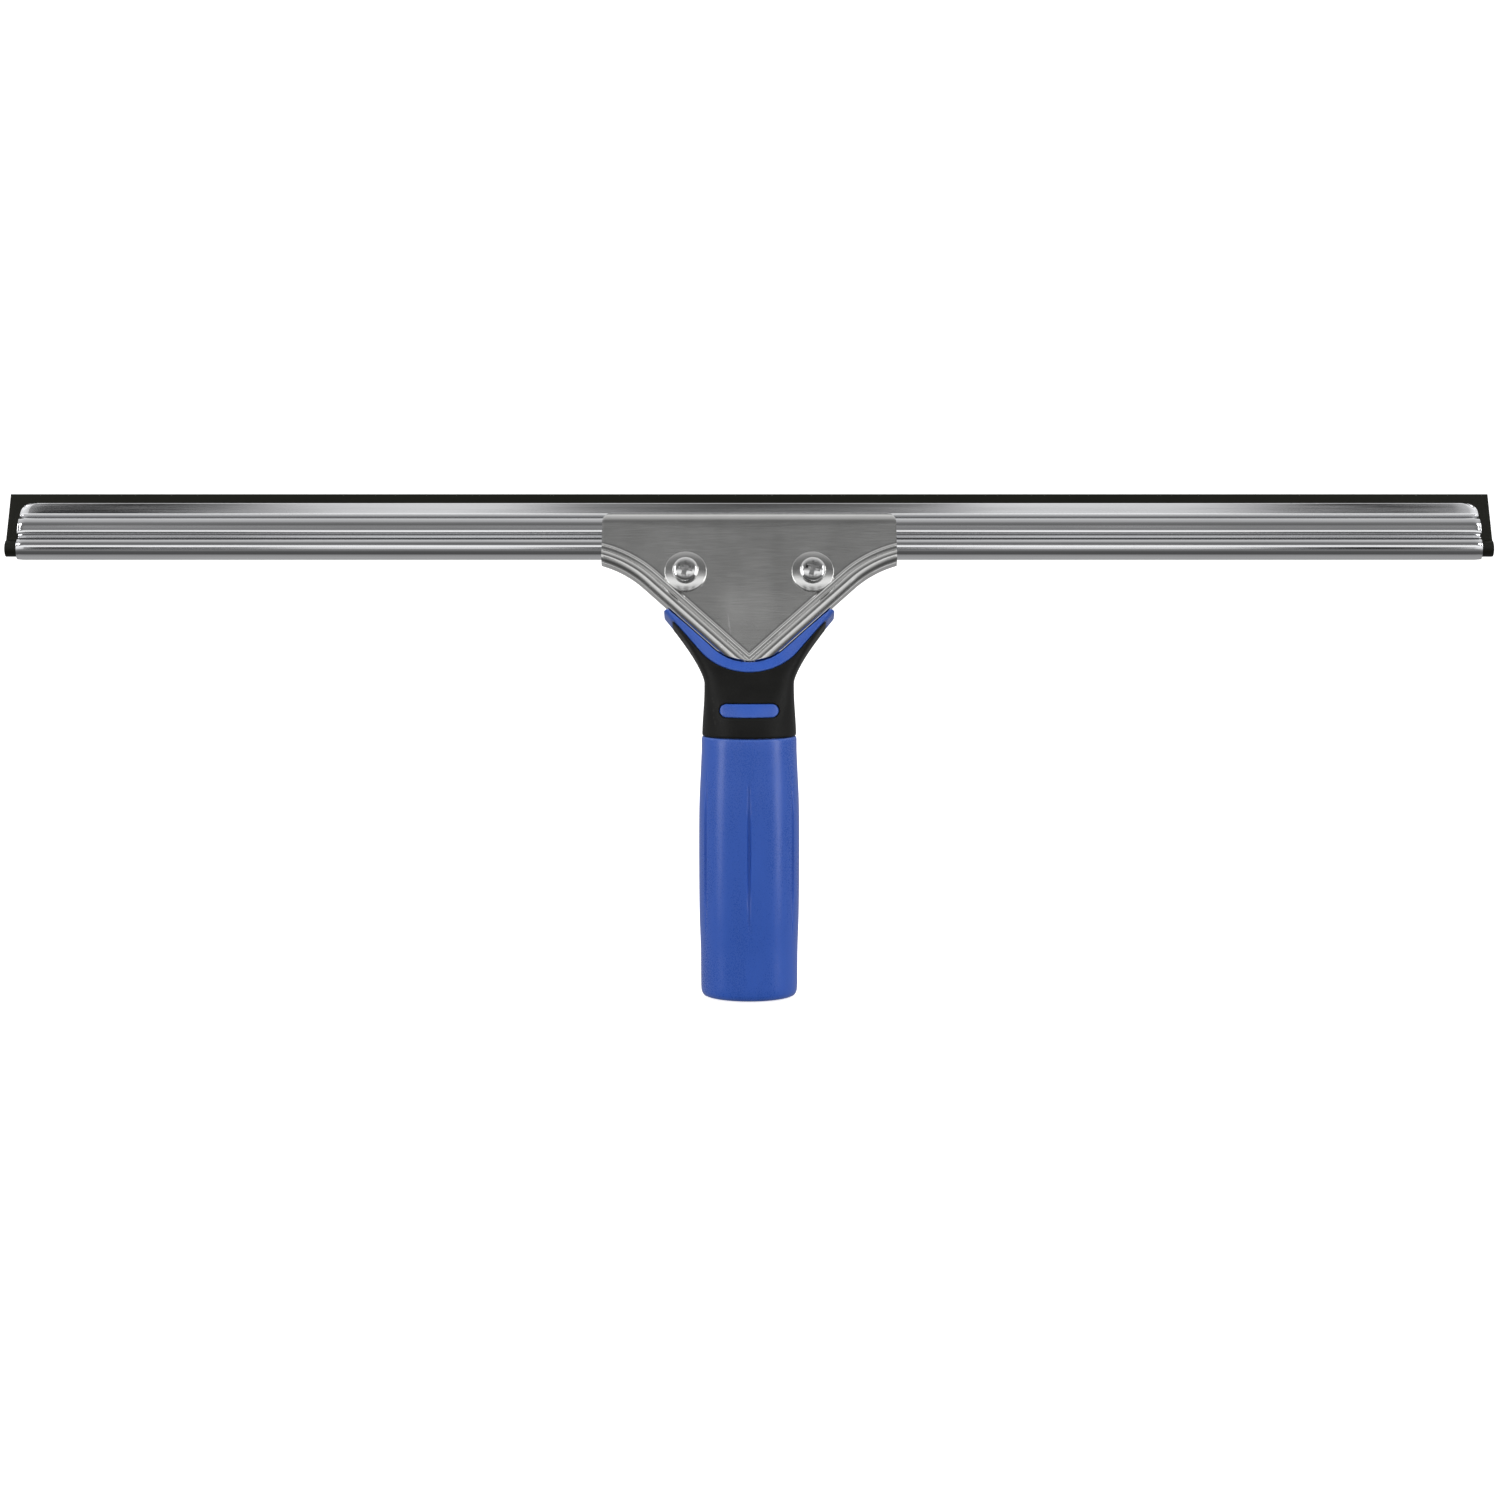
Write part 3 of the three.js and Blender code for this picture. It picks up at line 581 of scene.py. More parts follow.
@dataclass(frozen=True)
class HeadFrame:
    """The leaning frame of the clamp head: X along the blade, -Y out of the front, Z up the plates.

    Args:
        origin: The frame's origin in millimetres.
        up: Direction up the plates.
        front: Direction out of the front.
    """

    origin: Vector
    up: Vector
    front: Vector
    screw_x: float = 23.7
    screw_up: float = 31.9
    screw_pivot: float = 9.0

    @classmethod
    def from_joints(cls, joints: list[dict]) -> HeadFrame:
        """Finds the frame from the left screw's joint.

        Args:
            joints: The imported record's joints.

        Returns:
            The head's frame.
        """
        screw = next(joint for joint in joints if joint["name"] == "left_screw_turn")
        front = Vector(screw["axis"]).normalized()
        up = Vector((0, front.z, -front.y))
        pivot = Vector(screw["pos_m"]) / MM
        origin = pivot - up * cls.screw_up - front * cls.screw_pivot
        origin.x = 0
        return cls(origin, up, front)

    def matrix(self) -> Matrix:
        """The head's frame as a matrix, in millimetres."""
        return self._columns(Vector((1, 0, 0)), -self.front, self.up, self.origin)

    def screw_matrix(self, side: Side) -> Matrix:
        """A frame on one screw's axis, with +Z out of the front and its origin between the plates."""
        origin = self.origin + self.up * self.screw_up + Vector((side.value * self.screw_x, 0, 0))
        return self._columns(Vector((1, 0, 0)), self.up, self.front, origin)

    @staticmethod
    def _columns(x: Vector, y: Vector, z: Vector, origin: Vector) -> Matrix:
        """A matrix from three axes and an origin."""
        return Matrix([(x[i], y[i], z[i], origin[i]) for i in range(3)] + [(0, 0, 0, 1)])


@dataclass(frozen=True)
class Station:
    """One place on the jaw plates' lower edge.

    Args:
        x: Place along the blade.
        up: Height up the plates.
        inward: The way in from the edge, long enough to move in by one millimetre.
        turn: On the round tip, the angle left to the straight flank.
    """

    x: float
    up: float
    inward: tuple[float, float]
    turn: float = 0.0

    def mirrored(self) -> Station:
        """The same place on the other side of the middle."""
        return Station(-self.x, self.up, (-self.inward[0], self.inward[1]), self.turn)

    def moved_in(self, inset: float) -> tuple[float, float]:
        """The point an inset away from the edge."""
        return self.x + self.inward[0] * inset, self.up + self.inward[1] * inset


@dataclass(frozen=True)
class JawOutline:
    """The jaw plates' lower edge: a round tip, straight flanks and hollow arcs out to the ears."""

    tip_radius: float = 18.8
    tip_bottom: float = -3.3
    flank_angle: float = math.radians(43)
    flank_length: float = 36.2
    ear_radius: float = 40.0
    half_width: float = 55.2
    straighten_from: float = 43.0
    tip_steps: int = 48
    flank_steps: int = 34
    ear_steps: int = 20

    def half_run(self) -> list[Station]:
        """Stations from the middle of the tip to the right ear."""
        centre = self.tip_bottom + self.tip_radius
        sine, cosine = math.sin(self.flank_angle), math.cos(self.flank_angle)
        run = []
        for i in range(self.tip_steps + 1):
            angle = self.flank_angle * i / self.tip_steps
            x, up = self.tip_radius * math.sin(angle), centre - self.tip_radius * math.cos(angle)
            run.append(Station(x, up, (-math.sin(angle), math.cos(angle)), self.flank_angle - angle))
        start = run[-1]
        for i in range(1, self.flank_steps + 1):
            reach = self.flank_length * i / self.flank_steps
            run.append(Station(start.x + reach * cosine, start.up + reach * sine, (-sine, cosine)))
        start = run[-1]
        hub = start.x + self.ear_radius * sine, start.up - self.ear_radius * cosine
        last = math.asin((hub[0] - self.half_width) / self.ear_radius)
        for i in range(1, self.ear_steps + 1):
            angle = self.flank_angle + (last - self.flank_angle) * i / self.ear_steps
            x, up = hub[0] - self.ear_radius * math.sin(angle), hub[1] + self.ear_radius * math.cos(angle)
            run.append(Station(x, up, self._straightened(x, angle)))
        return run

    def _straightened(self, x: float, angle: float) -> tuple[float, float]:
        """The way in near an ear, which turns to run straight up beside the plate's side."""
        share = eased(x, self.straighten_from, self.half_width)
        way = Vector((-math.sin(angle) * (1 - share), math.cos(angle) * (1 - share) + share))
        return tuple(way / way.dot(Vector((-math.sin(angle), math.cos(angle)))))

    def run(self) -> list[Station]:
        """Stations from the left ear to the right ear."""
        right = self.half_run()
        return [station.mirrored() for station in reversed(right[1:])] + right

    def from_straight_edge(self, station: Station, inset: float) -> float:
        """How far a point is from the flank's straight line, which the beads follow past the round tip."""
        return self.tip_radius - (self.tip_radius - inset) * math.cos(station.turn) if station.turn else inset


@dataclass
class JawPlate:
    """One pressed jaw plate, which curls in over the channel at its top.

    Args:
        facing: Front or rear.
        outline: The lower edge.
        head: The head's frame.
        bench: The bench that it is made on.
    """

    facing: Facing
    outline: JawOutline
    head: HeadFrame
    bench: Bench
    level: float = 6.1
    thickness: float = 0.9
    flange_back: float = 2.5
    band: float = 8.4
    band_step: float = 0.22
    bead_inset: float = 2.9
    bead_half: float = 2.4
    bead_height: float = 1.5
    line_inset: float = 6.7
    line_height: float = 0.42
    trough_half: float = 9.0
    trough_top: float = 29.0
    trough_depth: float = 0.16
    curl_start: float = 51.7
    curl_radius: float = 5.7
    curl_angle: float = 60.0
    curl_steps: int = 9
    flat_steps: int = 14
    corner: float = 5.5
    top: float = 57.2
    hole_radius: float = 2.9
    rear_raise: float = 4.4
    rear_side_inset: float = 0.8
    rim_round: float = 0.22

    def build(self) -> Object:
        """Presses the plate and dresses it in satin steel."""
        front = self.facing is Facing.FRONT
        bm = self._pressing()
        bmesh.ops.solidify(bm, geom=bm.faces[:], thickness=self.thickness * self._solidify_sign(bm))
        bmesh.ops.recalc_face_normals(bm, faces=bm.faces)
        soften(bm, self.rim_round, 60)
        bm.transform(self.head.matrix())
        node = "front_jaw_plate" if front else "rear_jaw_plate"
        plate = self.bench.blank(bm, "front_jaw" if front else "rear_jaw")
        if not front:
            plate = self.bench.work(plate, self._tang(), Cut.JOIN)
        for side in Side:
            plate = self.bench.work(plate, self._hole(side), Cut.REMOVE)
        body = "front_jaw" if front else "handle"
        return self.bench.hand_over(plate, body, SATIN_STEEL, "satin_steel", [node], 30)

    def _solidify_sign(self, bm: BMesh) -> float:
        """The sign that grows the sheet's thickness towards the inside of the jaw."""
        bm.normal_update()
        flat = max(bm.faces, key=lambda face: face.calc_area())
        outward = flat.normal.y * -self.facing.value > 0
        return 1.0 if outward else -1.0

    def _pressing(self) -> BMesh:
        """The outer skin of the plate, row by row from its lower edge to the end of its curl."""
        bm = bmesh.new()
        stations = self.outline.run()
        layer = bm.verts.layers.int.new("station")
        rows = self._rows()
        edges = wire(bm, [rows[0](station) for station in stations])
        for index, vert in enumerate(bm.verts):
            vert[layer] = index
        for row in rows[1:]:
            edges = pull(bm, edges, lambda vert, row=row: row(stations[vert[layer]]))
        return bm

    def _rows(self) -> list[Callable[[Station], Vector]]:
        """How each row of the skin is placed at a station."""
        rows: list[Callable[[Station], Vector]] = []
        inset = 0.0
        if self.facing is Facing.FRONT:
            for depth in (self.flange_back, 3.4, 4.3, 5.1):
                rows.append(lambda s, depth=depth: self._point(*s.moved_in(0), depth))
            rows.append(lambda s: self._point(*s.moved_in(0.14), 5.65))
            inset = self.band_step
        else:
            inset = self.rear_raise
        while inset < self.band:
            rows.append(lambda s, inset=inset: self._banded(s, inset))
            inset += self.band_step
        for i in range(self.flat_steps + 1):
            rows.append(lambda s, t=i / self.flat_steps: self._flat(s, t))
        for i in range(1, self.curl_steps + 1):
            angle = math.radians(self.curl_angle * i / self.curl_steps)
            rows.append(lambda s, angle=angle: self._curled(s, angle))
        return rows

    def _point(self, x: float, up: float, depth: float) -> Vector:
        """A point of the skin, from its place and its depth towards the plate's own side."""
        share = 1 - self.rear_side_inset / self.outline.half_width if self.facing is Facing.REAR else 1
        return Vector((x * share, -self.facing.value * depth, up))

    def _banded(self, station: Station, inset: float) -> Vector:
        """A point of the band along the lower edge, where the front plate has its pressed beads."""
        x, up = station.moved_in(inset)
        return self._point(x, up, self.level + self._pressed(station, inset) - self._trough(x, up))

    def _pressed(self, station: Station, inset: float) -> float:
        """Height of the wide bead, the line beside it and the furrow between them."""
        if self.facing is Facing.REAR:
            return 0.0
        distance = self.outline.from_straight_edge(station, inset)
        across = (distance - self.bead_inset) / self.bead_half
        bead = self.bead_height * max(0.0, 1 - across * across) ** 0.8
        furrow = -0.25 * math.exp(-(((distance - 5.45) / 0.4) ** 2))
        line = self.line_height * math.exp(-(((distance - self.line_inset) / 0.6) ** 2))
        return bead + furrow + line

    def _trough(self, x: float, up: float) -> float:
        """Depth of the shallow trough down the middle of the front plate."""
        if self.facing is Facing.REAR:
            return 0.0
        across = 1 - eased(abs(x), self.trough_half - 2.5, self.trough_half + 2.5)
        return self.trough_depth * across * (1 - eased(up, self.trough_top - 20, self.trough_top))

    def _flat(self, station: Station, share: float) -> Vector:
        """A point of the flat field, a share of the way from the band to the curl."""
        low = station.moved_in(self.band)
        x = low[0] + (station.x - low[0]) * share
        up = low[1] + (self.curl_start - low[1]) * share
        return self._point(x, up, self.level - self._trough(x, up))

    def _curled(self, station: Station, angle: float) -> Vector:
        """A point of the curl over the channel, with the plate's rounded top corners."""
        up = self.curl_start + self.curl_radius * math.sin(angle)
        depth = self.level - self.curl_radius * (1 - math.cos(angle))
        above = up - (self.top - self.corner)
        cut = self.corner - math.sqrt(max(0.0, self.corner**2 - max(0.0, above) ** 2))
        return self._point(station.x * (1 - cut / self.outline.half_width), up, depth)

    def _hole(self, side: Side) -> Object:
        """The cutter for one screw's hole."""
        bm = bmesh.new()
        bmesh.ops.create_cone(
            bm, cap_ends=True, segments=40, radius1=self.hole_radius, radius2=self.hole_radius, depth=30
        )
        bm.transform(self.head.screw_matrix(side))
        return self.bench.blank(bm, "hole")

    def _tang(self) -> Object:
        """The strap that runs from the rear plate's tip down into the handle, with its pin holes."""
        bm = bmesh.new()
        matrix = self.head.matrix()
        middle = self.level - 0.5 * self.thickness
        high = matrix @ Vector((0, middle, 8.0))
        knee = matrix @ Vector((0, middle, -0.6))
        low = Vector((0, knee.y, 97.2))
        keys = [(high.y, high.z), (knee.y, knee.z), (knee.y, knee.z - 3), (low.y, low.z)]
        edges = wire(bm, [Vector((-8, y, z)) for y, z in flowing(keys, 5)])
        pull(bm, edges, lambda vert: vert.co + Vector((16, 0, 0)))
        bmesh.ops.recalc_face_normals(bm, faces=bm.faces)
        bmesh.ops.solidify(bm, geom=bm.faces[:], thickness=self.thickness)
        tang = self.bench.blank(bm, "tang")
        for node in ("upper_tang_pin", "lower_tang_pin"):
            low_corner, high_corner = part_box(node)
            drill = bmesh.new()
            bmesh.ops.create_cone(drill, cap_ends=True, segments=24, radius1=2.3, radius2=2.3, depth=40)
            height = (low_corner.z + high_corner.z) / 2 / MM
            drill.transform(Matrix.Translation((0, 20, height)) @ Matrix.Rotation(math.pi / 2, 4, "X"))
            tang = self.bench.work(tang, self.bench.blank(drill, "drill"), Cut.REMOVE)
        return tang


@dataclass
class Blade:
    """The channel and the rubber strip that it grips.

    Args:
        head: The head's frame.
        bench: The bench that they are made on.
    """

    head: HeadFrame
    bench: Bench
    bottom: float = 39.2
    height: float = 21.3
    wall: float = 0.7
    bead_radius: float = 4.3
    corner: float = 4.0
    end_roll: float = 0.55
    roll_reach: float = 3.2
    rubber_bead: float = 3.1
    rubber_web: float = 1.35
    rubber_top: float = 26.0

    def build(self) -> None:
        """Makes both pieces."""
        self._channel()
        self._rubber()

    def _side(self) -> list[tuple[float, float]]:
        """One side of the channel's outer skin as (depth, height), from the bottom's middle to the lip."""
        bead = arc((0, self.bead_radius), self.bead_radius, -90, 52, 18)
        crease = [(2.38, 8.12), (3.0, 8.5), (4.1, 8.9), (4.44, 9.6)]
        wall = [(4.5, 11.0), (4.52, 12.3), (4.36, 13.4), (3.85, 14.8), (2.8, 15.95), (2.18, 16.8)]
        lip = [(2.12, 17.4), (2.4, 18.4), (2.9, 19.8), (3.4, self.height)]
        return bead[:-1] + flowing([bead[-1], *crease, *wall, *lip], 5)

    def _channel(self) -> Object:
        """Rolls the channel from end to end and gives its sheet a thickness."""
        bm = bmesh.new()
        side = self._side()
        section = [(-depth, up) for depth, up in reversed(side[1:])] + side
        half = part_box("blade_channel")[1].x / MM
        reaches = [0.0, 0.4, 0.9, 1.6, 2.4, self.roll_reach, 9.0, 60.0]
        places = [reach - half for reach in reaches] + [0.0] + [half - reach for reach in reversed(reaches)]
        layer = bm.verts.layers.int.new("station")
        edges = wire(bm, [self._rolled(point, places[0], half) for point in section])
        for index, vert in enumerate(bm.verts):
            vert[layer] = index
        for x in places[1:]:
            edges = pull(bm, edges, lambda vert, x=x: self._rolled(section[vert[layer]], x, half))
        bmesh.ops.recalc_face_normals(bm, faces=bm.faces)
        lowest = min(bm.faces, key=lambda face: face.calc_center_median().z)
        inward = 1.0 if lowest.normal.z < 0 else -1.0
        bmesh.ops.solidify(bm, geom=bm.faces[:], thickness=self.wall * inward)
        soften(bm, 0.16, 60)
        bm.transform(self.head.matrix())
        return self.bench.piece(
            bm, "blade_channel_skin", "channel", MIRROR_STEEL, "polished_steel", ["blade_channel"], 40
        )

    def _rolled(self, point: tuple[float, float], x: float, half: float) -> Vector:
        """A point of the channel, drawn in at its ends, with its lips' corners rounded."""
        depth, up = point
        above = up - (self.height - self.corner)
        cut = self.corner - math.sqrt(max(0.0, self.corner**2 - max(0.0, above) ** 2))
        end = half - abs(x)
        near = 1 - eased(end, 0, self.roll_reach)
        share = cut * (1 - eased(end, 0, 30))
        drawn = depth - math.copysign(min(abs(depth), self.end_roll * near * near), depth)
        return Vector((x - math.copysign(share, x), drawn, self.bottom + up))

    def _rubber(self) -> Object:
        """Extrudes the rubber strip with its slightly rounded corners."""
        join = math.degrees(math.asin(self.rubber_web / self.rubber_bead))
        bead = arc((0, self.bead_radius), self.rubber_bead, 90 + join, 450 - join, 28)
        section = bead + [(1.1, 16.5), (0.95, self.rubber_top), (-0.95, self.rubber_top), (-1.1, 16.5)]
        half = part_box("squeegee_rubber")[1].x / MM
        outline = [Vector((-half, depth, self.bottom + up)) for depth, up in section]
        bm = prism(outline, Vector((2 * half, 0, 0)))
        soften(bm, 0.12, 50)
        bm.transform(self.head.matrix())
        nodes = ["squeegee_rubber"]
        return self.bench.piece(bm, "rubber_strip", "rubber", BLADE_RUBBER, "blade_rubber", nodes, 30)


@dataclass
class ClampScrew:
    """One clamp screw with its washers and nut, stacked along the screw's own Z.

    Args:
        side: Left or right.
        head: The head's frame.
        bench: The bench that they are made on.
    """

    side: Side
    head: HeadFrame
    bench: Bench
    plain_back: float = 6.25
    plain_front: float = 7.05
    spring_back: float = 7.2
    spring_front: float = 8.1
    head_back: float = 8.25
    head_top: float = 11.15
    head_radius: float = 4.85
    shank_radius: float = 2.1
    thread_radius: float = 2.35
    pitch: float = 0.8
    tip: float = -11.75
    nut_front: float = -6.25
    flange_height: float = 1.2
    hexagon_height: float = 3.4
    corner_radius: float = 4.62
    flat_radius: float = 4.0
    bore: float = 2.65
    recess_length: float = 8.2
    recess_width: float = 2.0
    recess_depth: float = 2.3
    recess_turn: float = math.radians(-15)
    thread_steps: int = 18
    thread_half: float = 0.33
    thread_runout: float = 0.75
    thread_stop: float = 1.2
    split: float = math.radians(13)
    split_place: float = math.radians(97)
    split_rise: float = 0.08
    spring_steps: int = 48

    def build(self) -> None:
        """Makes the screw, both washers and the nut."""
        side = self.side.name.lower()
        matrix = self.head.screw_matrix(self.side)
        screw = self._screw(matrix)
        self.bench.hand_over(screw, f"{side}_screw", SCREW_STEEL, "screw_steel", [f"{side}_clamp_screw"], 40)
        for bm, name, body, finish, slot, node in (
            (self._plain(), "plain_ring", "washers", SATIN_STEEL, "satin_steel", "plain_washer"),
            (self._spring(), "spring_ring", "washers", SCREW_STEEL, "screw_steel", "spring_washer"),
        ):
            bm.transform(matrix)
            self.bench.piece(bm, f"{side}_{name}", f"{side}_{body}", finish, slot, [f"{side}_{node}"], 40)
        nut = self._nut()
        nut.transform(matrix)
        nodes = [f"{side}_clamp_nut"]
        self.bench.piece(nut, f"{side}_flange_nut", "handle", SCREW_STEEL, "screw_steel", nodes, 40)

    def _screw(self, matrix: Matrix) -> Object:
        """Turns the screw, cuts the cross into its head and winds its thread."""
        radius, back, top = self.head_radius, self.head_back, self.head_top
        crown = [(0, top), (1.9, top - 0.06), (3.5, top - 0.42)]
        dome = flowing([*crown, (4.5, top - 1.1), (radius, top - 1.9)], 4)
        rim = [(radius, back + 0.35), (radius - 0.35, back), (self.shank_radius, back)]
        shank = [(self.shank_radius, self.tip + 0.5), (self.shank_radius - 0.5, self.tip), (0, self.tip)]
        bm = turned(dome + rim + shank, 56)
        bm.transform(matrix)
        screw = self.bench.blank(bm, f"{self.side.name.lower()}_cross_screw")
        for quarter in (0, math.pi / 2):
            slot = bmesh.new()
            bmesh.ops.create_cube(slot, size=1)
            size = (self.recess_length, self.recess_width, 2 * self.recess_depth)
            bmesh.ops.scale(slot, vec=size, verts=slot.verts)
            low = [vert for vert in slot.verts if vert.co.z < 0]
            bmesh.ops.scale(slot, vec=(0.45, 0.8, 1), verts=low)
            turn = Matrix.Rotation(self.recess_turn + quarter, 4, "Z")
            slot.transform(matrix @ Matrix.Translation((0, 0, top)) @ turn)
            screw = self.bench.work(screw, self.bench.blank(slot, "recess"), Cut.REMOVE)
        return self.bench.work(screw, self._thread(matrix), Cut.JOIN)

    def _thread(self, matrix: Matrix) -> Object:
        """One ridge wound round the shank from the washers to the tip."""
        bm = bmesh.new()
        start = self.tip + self.thread_runout
        turns = (self.plain_back - self.thread_stop - start) / self.pitch
        inner, outer = self.shank_radius - 0.15, self.thread_radius
        ridge = [(inner, start - self.thread_half), (outer, start), (inner, start + self.thread_half)]
        wire(bm, [Vector((radius, 0, height)) for radius, height in ridge], closed=True)
        bm.faces.new(bm.verts)
        bmesh.ops.spin(
            bm,
            geom=bm.faces[:] + bm.edges[:] + bm.verts[:],
            cent=(0, 0, 0),
            axis=(0, 0, 1),
            dvec=(0, 0, self.pitch / self.thread_steps),
            angle=FULL_TURN * turns,
            steps=int(self.thread_steps * turns),
        )
        bm.transform(matrix)
        return self.bench.blank(bm, "thread")

    def _plain(self) -> BMesh:
        """A flat washer with a punched, slightly rounded rim."""
        low, high = self.plain_back, self.plain_front
        rim = [(7.9, low + 0.12), (7.9, high - 0.3), (7.82, high - 0.12), (7.65, high)]
        bore = [(2.75, high), (2.65, high - 0.1), (2.65, low)]
        return turned([(7.8, low), *rim, *bore], 80, closed=True)

    def _spring(self) -> BMesh:
        """A split ring whose ends stand a little apart."""
        bm = bmesh.new()
        low, high = self.spring_back, self.spring_front - self.split_rise
        corners = [(self.bore, low), (4.4, low), (4.4, high), (self.bore, high)]
        points = [Vector((radius, 0, height)) for radius, height in corners]
        bm.faces.new([bm.verts.new(point) for point in points])
        bmesh.ops.rotate(
            bm, cent=(0, 0, 0), matrix=Matrix.Rotation(self.split_place, 3, "Z"), verts=bm.verts
        )
        bmesh.ops.spin(
            bm,
            geom=bm.faces[:] + bm.edges[:] + bm.verts[:],
            cent=(0, 0, 0),
            axis=(0, 0, 1),
            dvec=(0, 0, self.split_rise / self.spring_steps),
            angle=FULL_TURN - self.split,
            steps=self.spring_steps,
        )
        bmesh.ops.recalc_face_normals(bm, faces=bm.faces)
        soften(bm, 0.14, 60)
        return bm

    def _nut(self) -> BMesh:
        """A flanged hexagon nut with chamfered corners and a clear bore."""
        face = self.nut_front
        seat = face - self.flange_height
        end = seat - self.hexagon_height
        rim = [(5.75, face), (5.9, face - 0.2), (5.9, face - 0.7), (4.6, seat + 0.05)]
        chamfers = [(self.corner_radius, seat), (self.corner_radius, end + 0.4), (4.3, end), (2.9, end)]
        bm = turned([(self.bore, face), *rim, (self.bore, seat)], 60, closed=True)
        hexagon = turned([(self.bore, seat), *chamfers, (self.bore, end + 0.3)], 60, closed=True)
        for vert in hexagon.verts:
            self._flatten_to_hexagon(vert)
        mesh = bpy.data.meshes.new("hexagon")
        hexagon.to_mesh(mesh)
        hexagon.free()
        bm.from_mesh(mesh)
        bpy.data.meshes.remove(mesh)
        return bm

    def _flatten_to_hexagon(self, vert: BMVert) -> None:
        """Moves a vertex that stands outside the nut's six flats in to the nearest one."""
        sector = FULL_TURN / 6
        off = math.atan2(vert.co.y, vert.co.x) % sector - sector / 2
        radius = math.hypot(vert.co.x, vert.co.y)
        share = min(1.0, self.flat_radius / math.cos(off) / radius)
        vert.co.x *= share
        vert.co.y *= share


# ---- handle -----------------------------------------------------------------------------------------------


@dataclass
class Neck:
    """The neck's shape: a round column that flattens and widens into the wings under the plates.

    Args:
        head: The head's frame.
    """

    head: HeadFrame
    foot: float = 95.8
    wing_top: float = 17.5
    wing_middle: float = -0.9
    base_radius: float = 17.4
    waist: float = 16.6
    waist_share: float = 0.45
    flare: float = 15.5
    wing_half_depth: float = 8.6
    wing_power: float = 6.0
    rows: int = 44
    segments: int = 112

    def _spine(self, share: float) -> tuple[Vector, Vector]:
        """A point of the middle line and its direction, a share of the way up."""
        up, front = self.head.up, self.head.front
        low = Vector((0, 0, self.foot))
        high = self.head.origin + up * self.wing_top + front * self.wing_middle
        bend = high - up * (high.y / up.y)
        point = low * (1 - share) ** 2 + bend * 2 * share * (1 - share) + high * share**2
        way = (bend - low) * (1 - share) + (high - bend) * share
        return point, way.normalized()

    def _warped(self, place: Vector, inset: float) -> Vector:
        """Takes a point of an upright unit cylinder to its place on the neck."""
        share = min(1.0, max(0.0, place.z))
        ease = eased(share, 0, 0.4)
        flare = max(0.0, share - self.waist_share) / (1 - self.waist_share)
        half_width = self.base_radius + (self.waist - self.base_radius) * ease + self.flare * flare**1.4
        half_depth = self.base_radius + (self.wing_half_depth - self.base_radius) * eased(share, 0, 0.7)
        power = 2 + (self.wing_power - 2) * eased(share, 0.05, 0.85)
        point, way = self._spine(share)
        sideways = Vector((1, 0, 0))
        depthward = way.cross(sideways)
        across = self._squared(place.x, power) * (half_width - inset)
        along = self._squared(place.y, power) * (half_depth - inset)
        return point + sideways * across + depthward * along

    @staticmethod
    def _squared(value: float, power: float) -> float:
        """Squares up one coordinate of a unit circle."""
        return 0.0 if abs(value) < 1e-6 else math.copysign(min(1.0, abs(value)) ** (2 / power), value)

    def solid(self, inset: float) -> BMesh:
        """The neck as one closed solid, moved in by an inset."""
        bm = bmesh.new()
        bmesh.ops.create_cone(
            bm, cap_ends=True, segments=self.segments, radius1=1, radius2=1, depth=1,
            matrix=Matrix.Translation((0, 0, 0.5)),
        )
        upright = [edge for edge in bm.edges if abs(edge.verts[0].co.z - edge.verts[1].co.z) > 0.5]
        bmesh.ops.subdivide_edges(bm, edges=upright, cuts=self.rows, use_grid_fill=True)
        for vert in bm.verts:
            vert.co = self._warped(vert.co, inset)
        bmesh.ops.recalc_face_normals(bm, faces=bm.faces)
        return bm


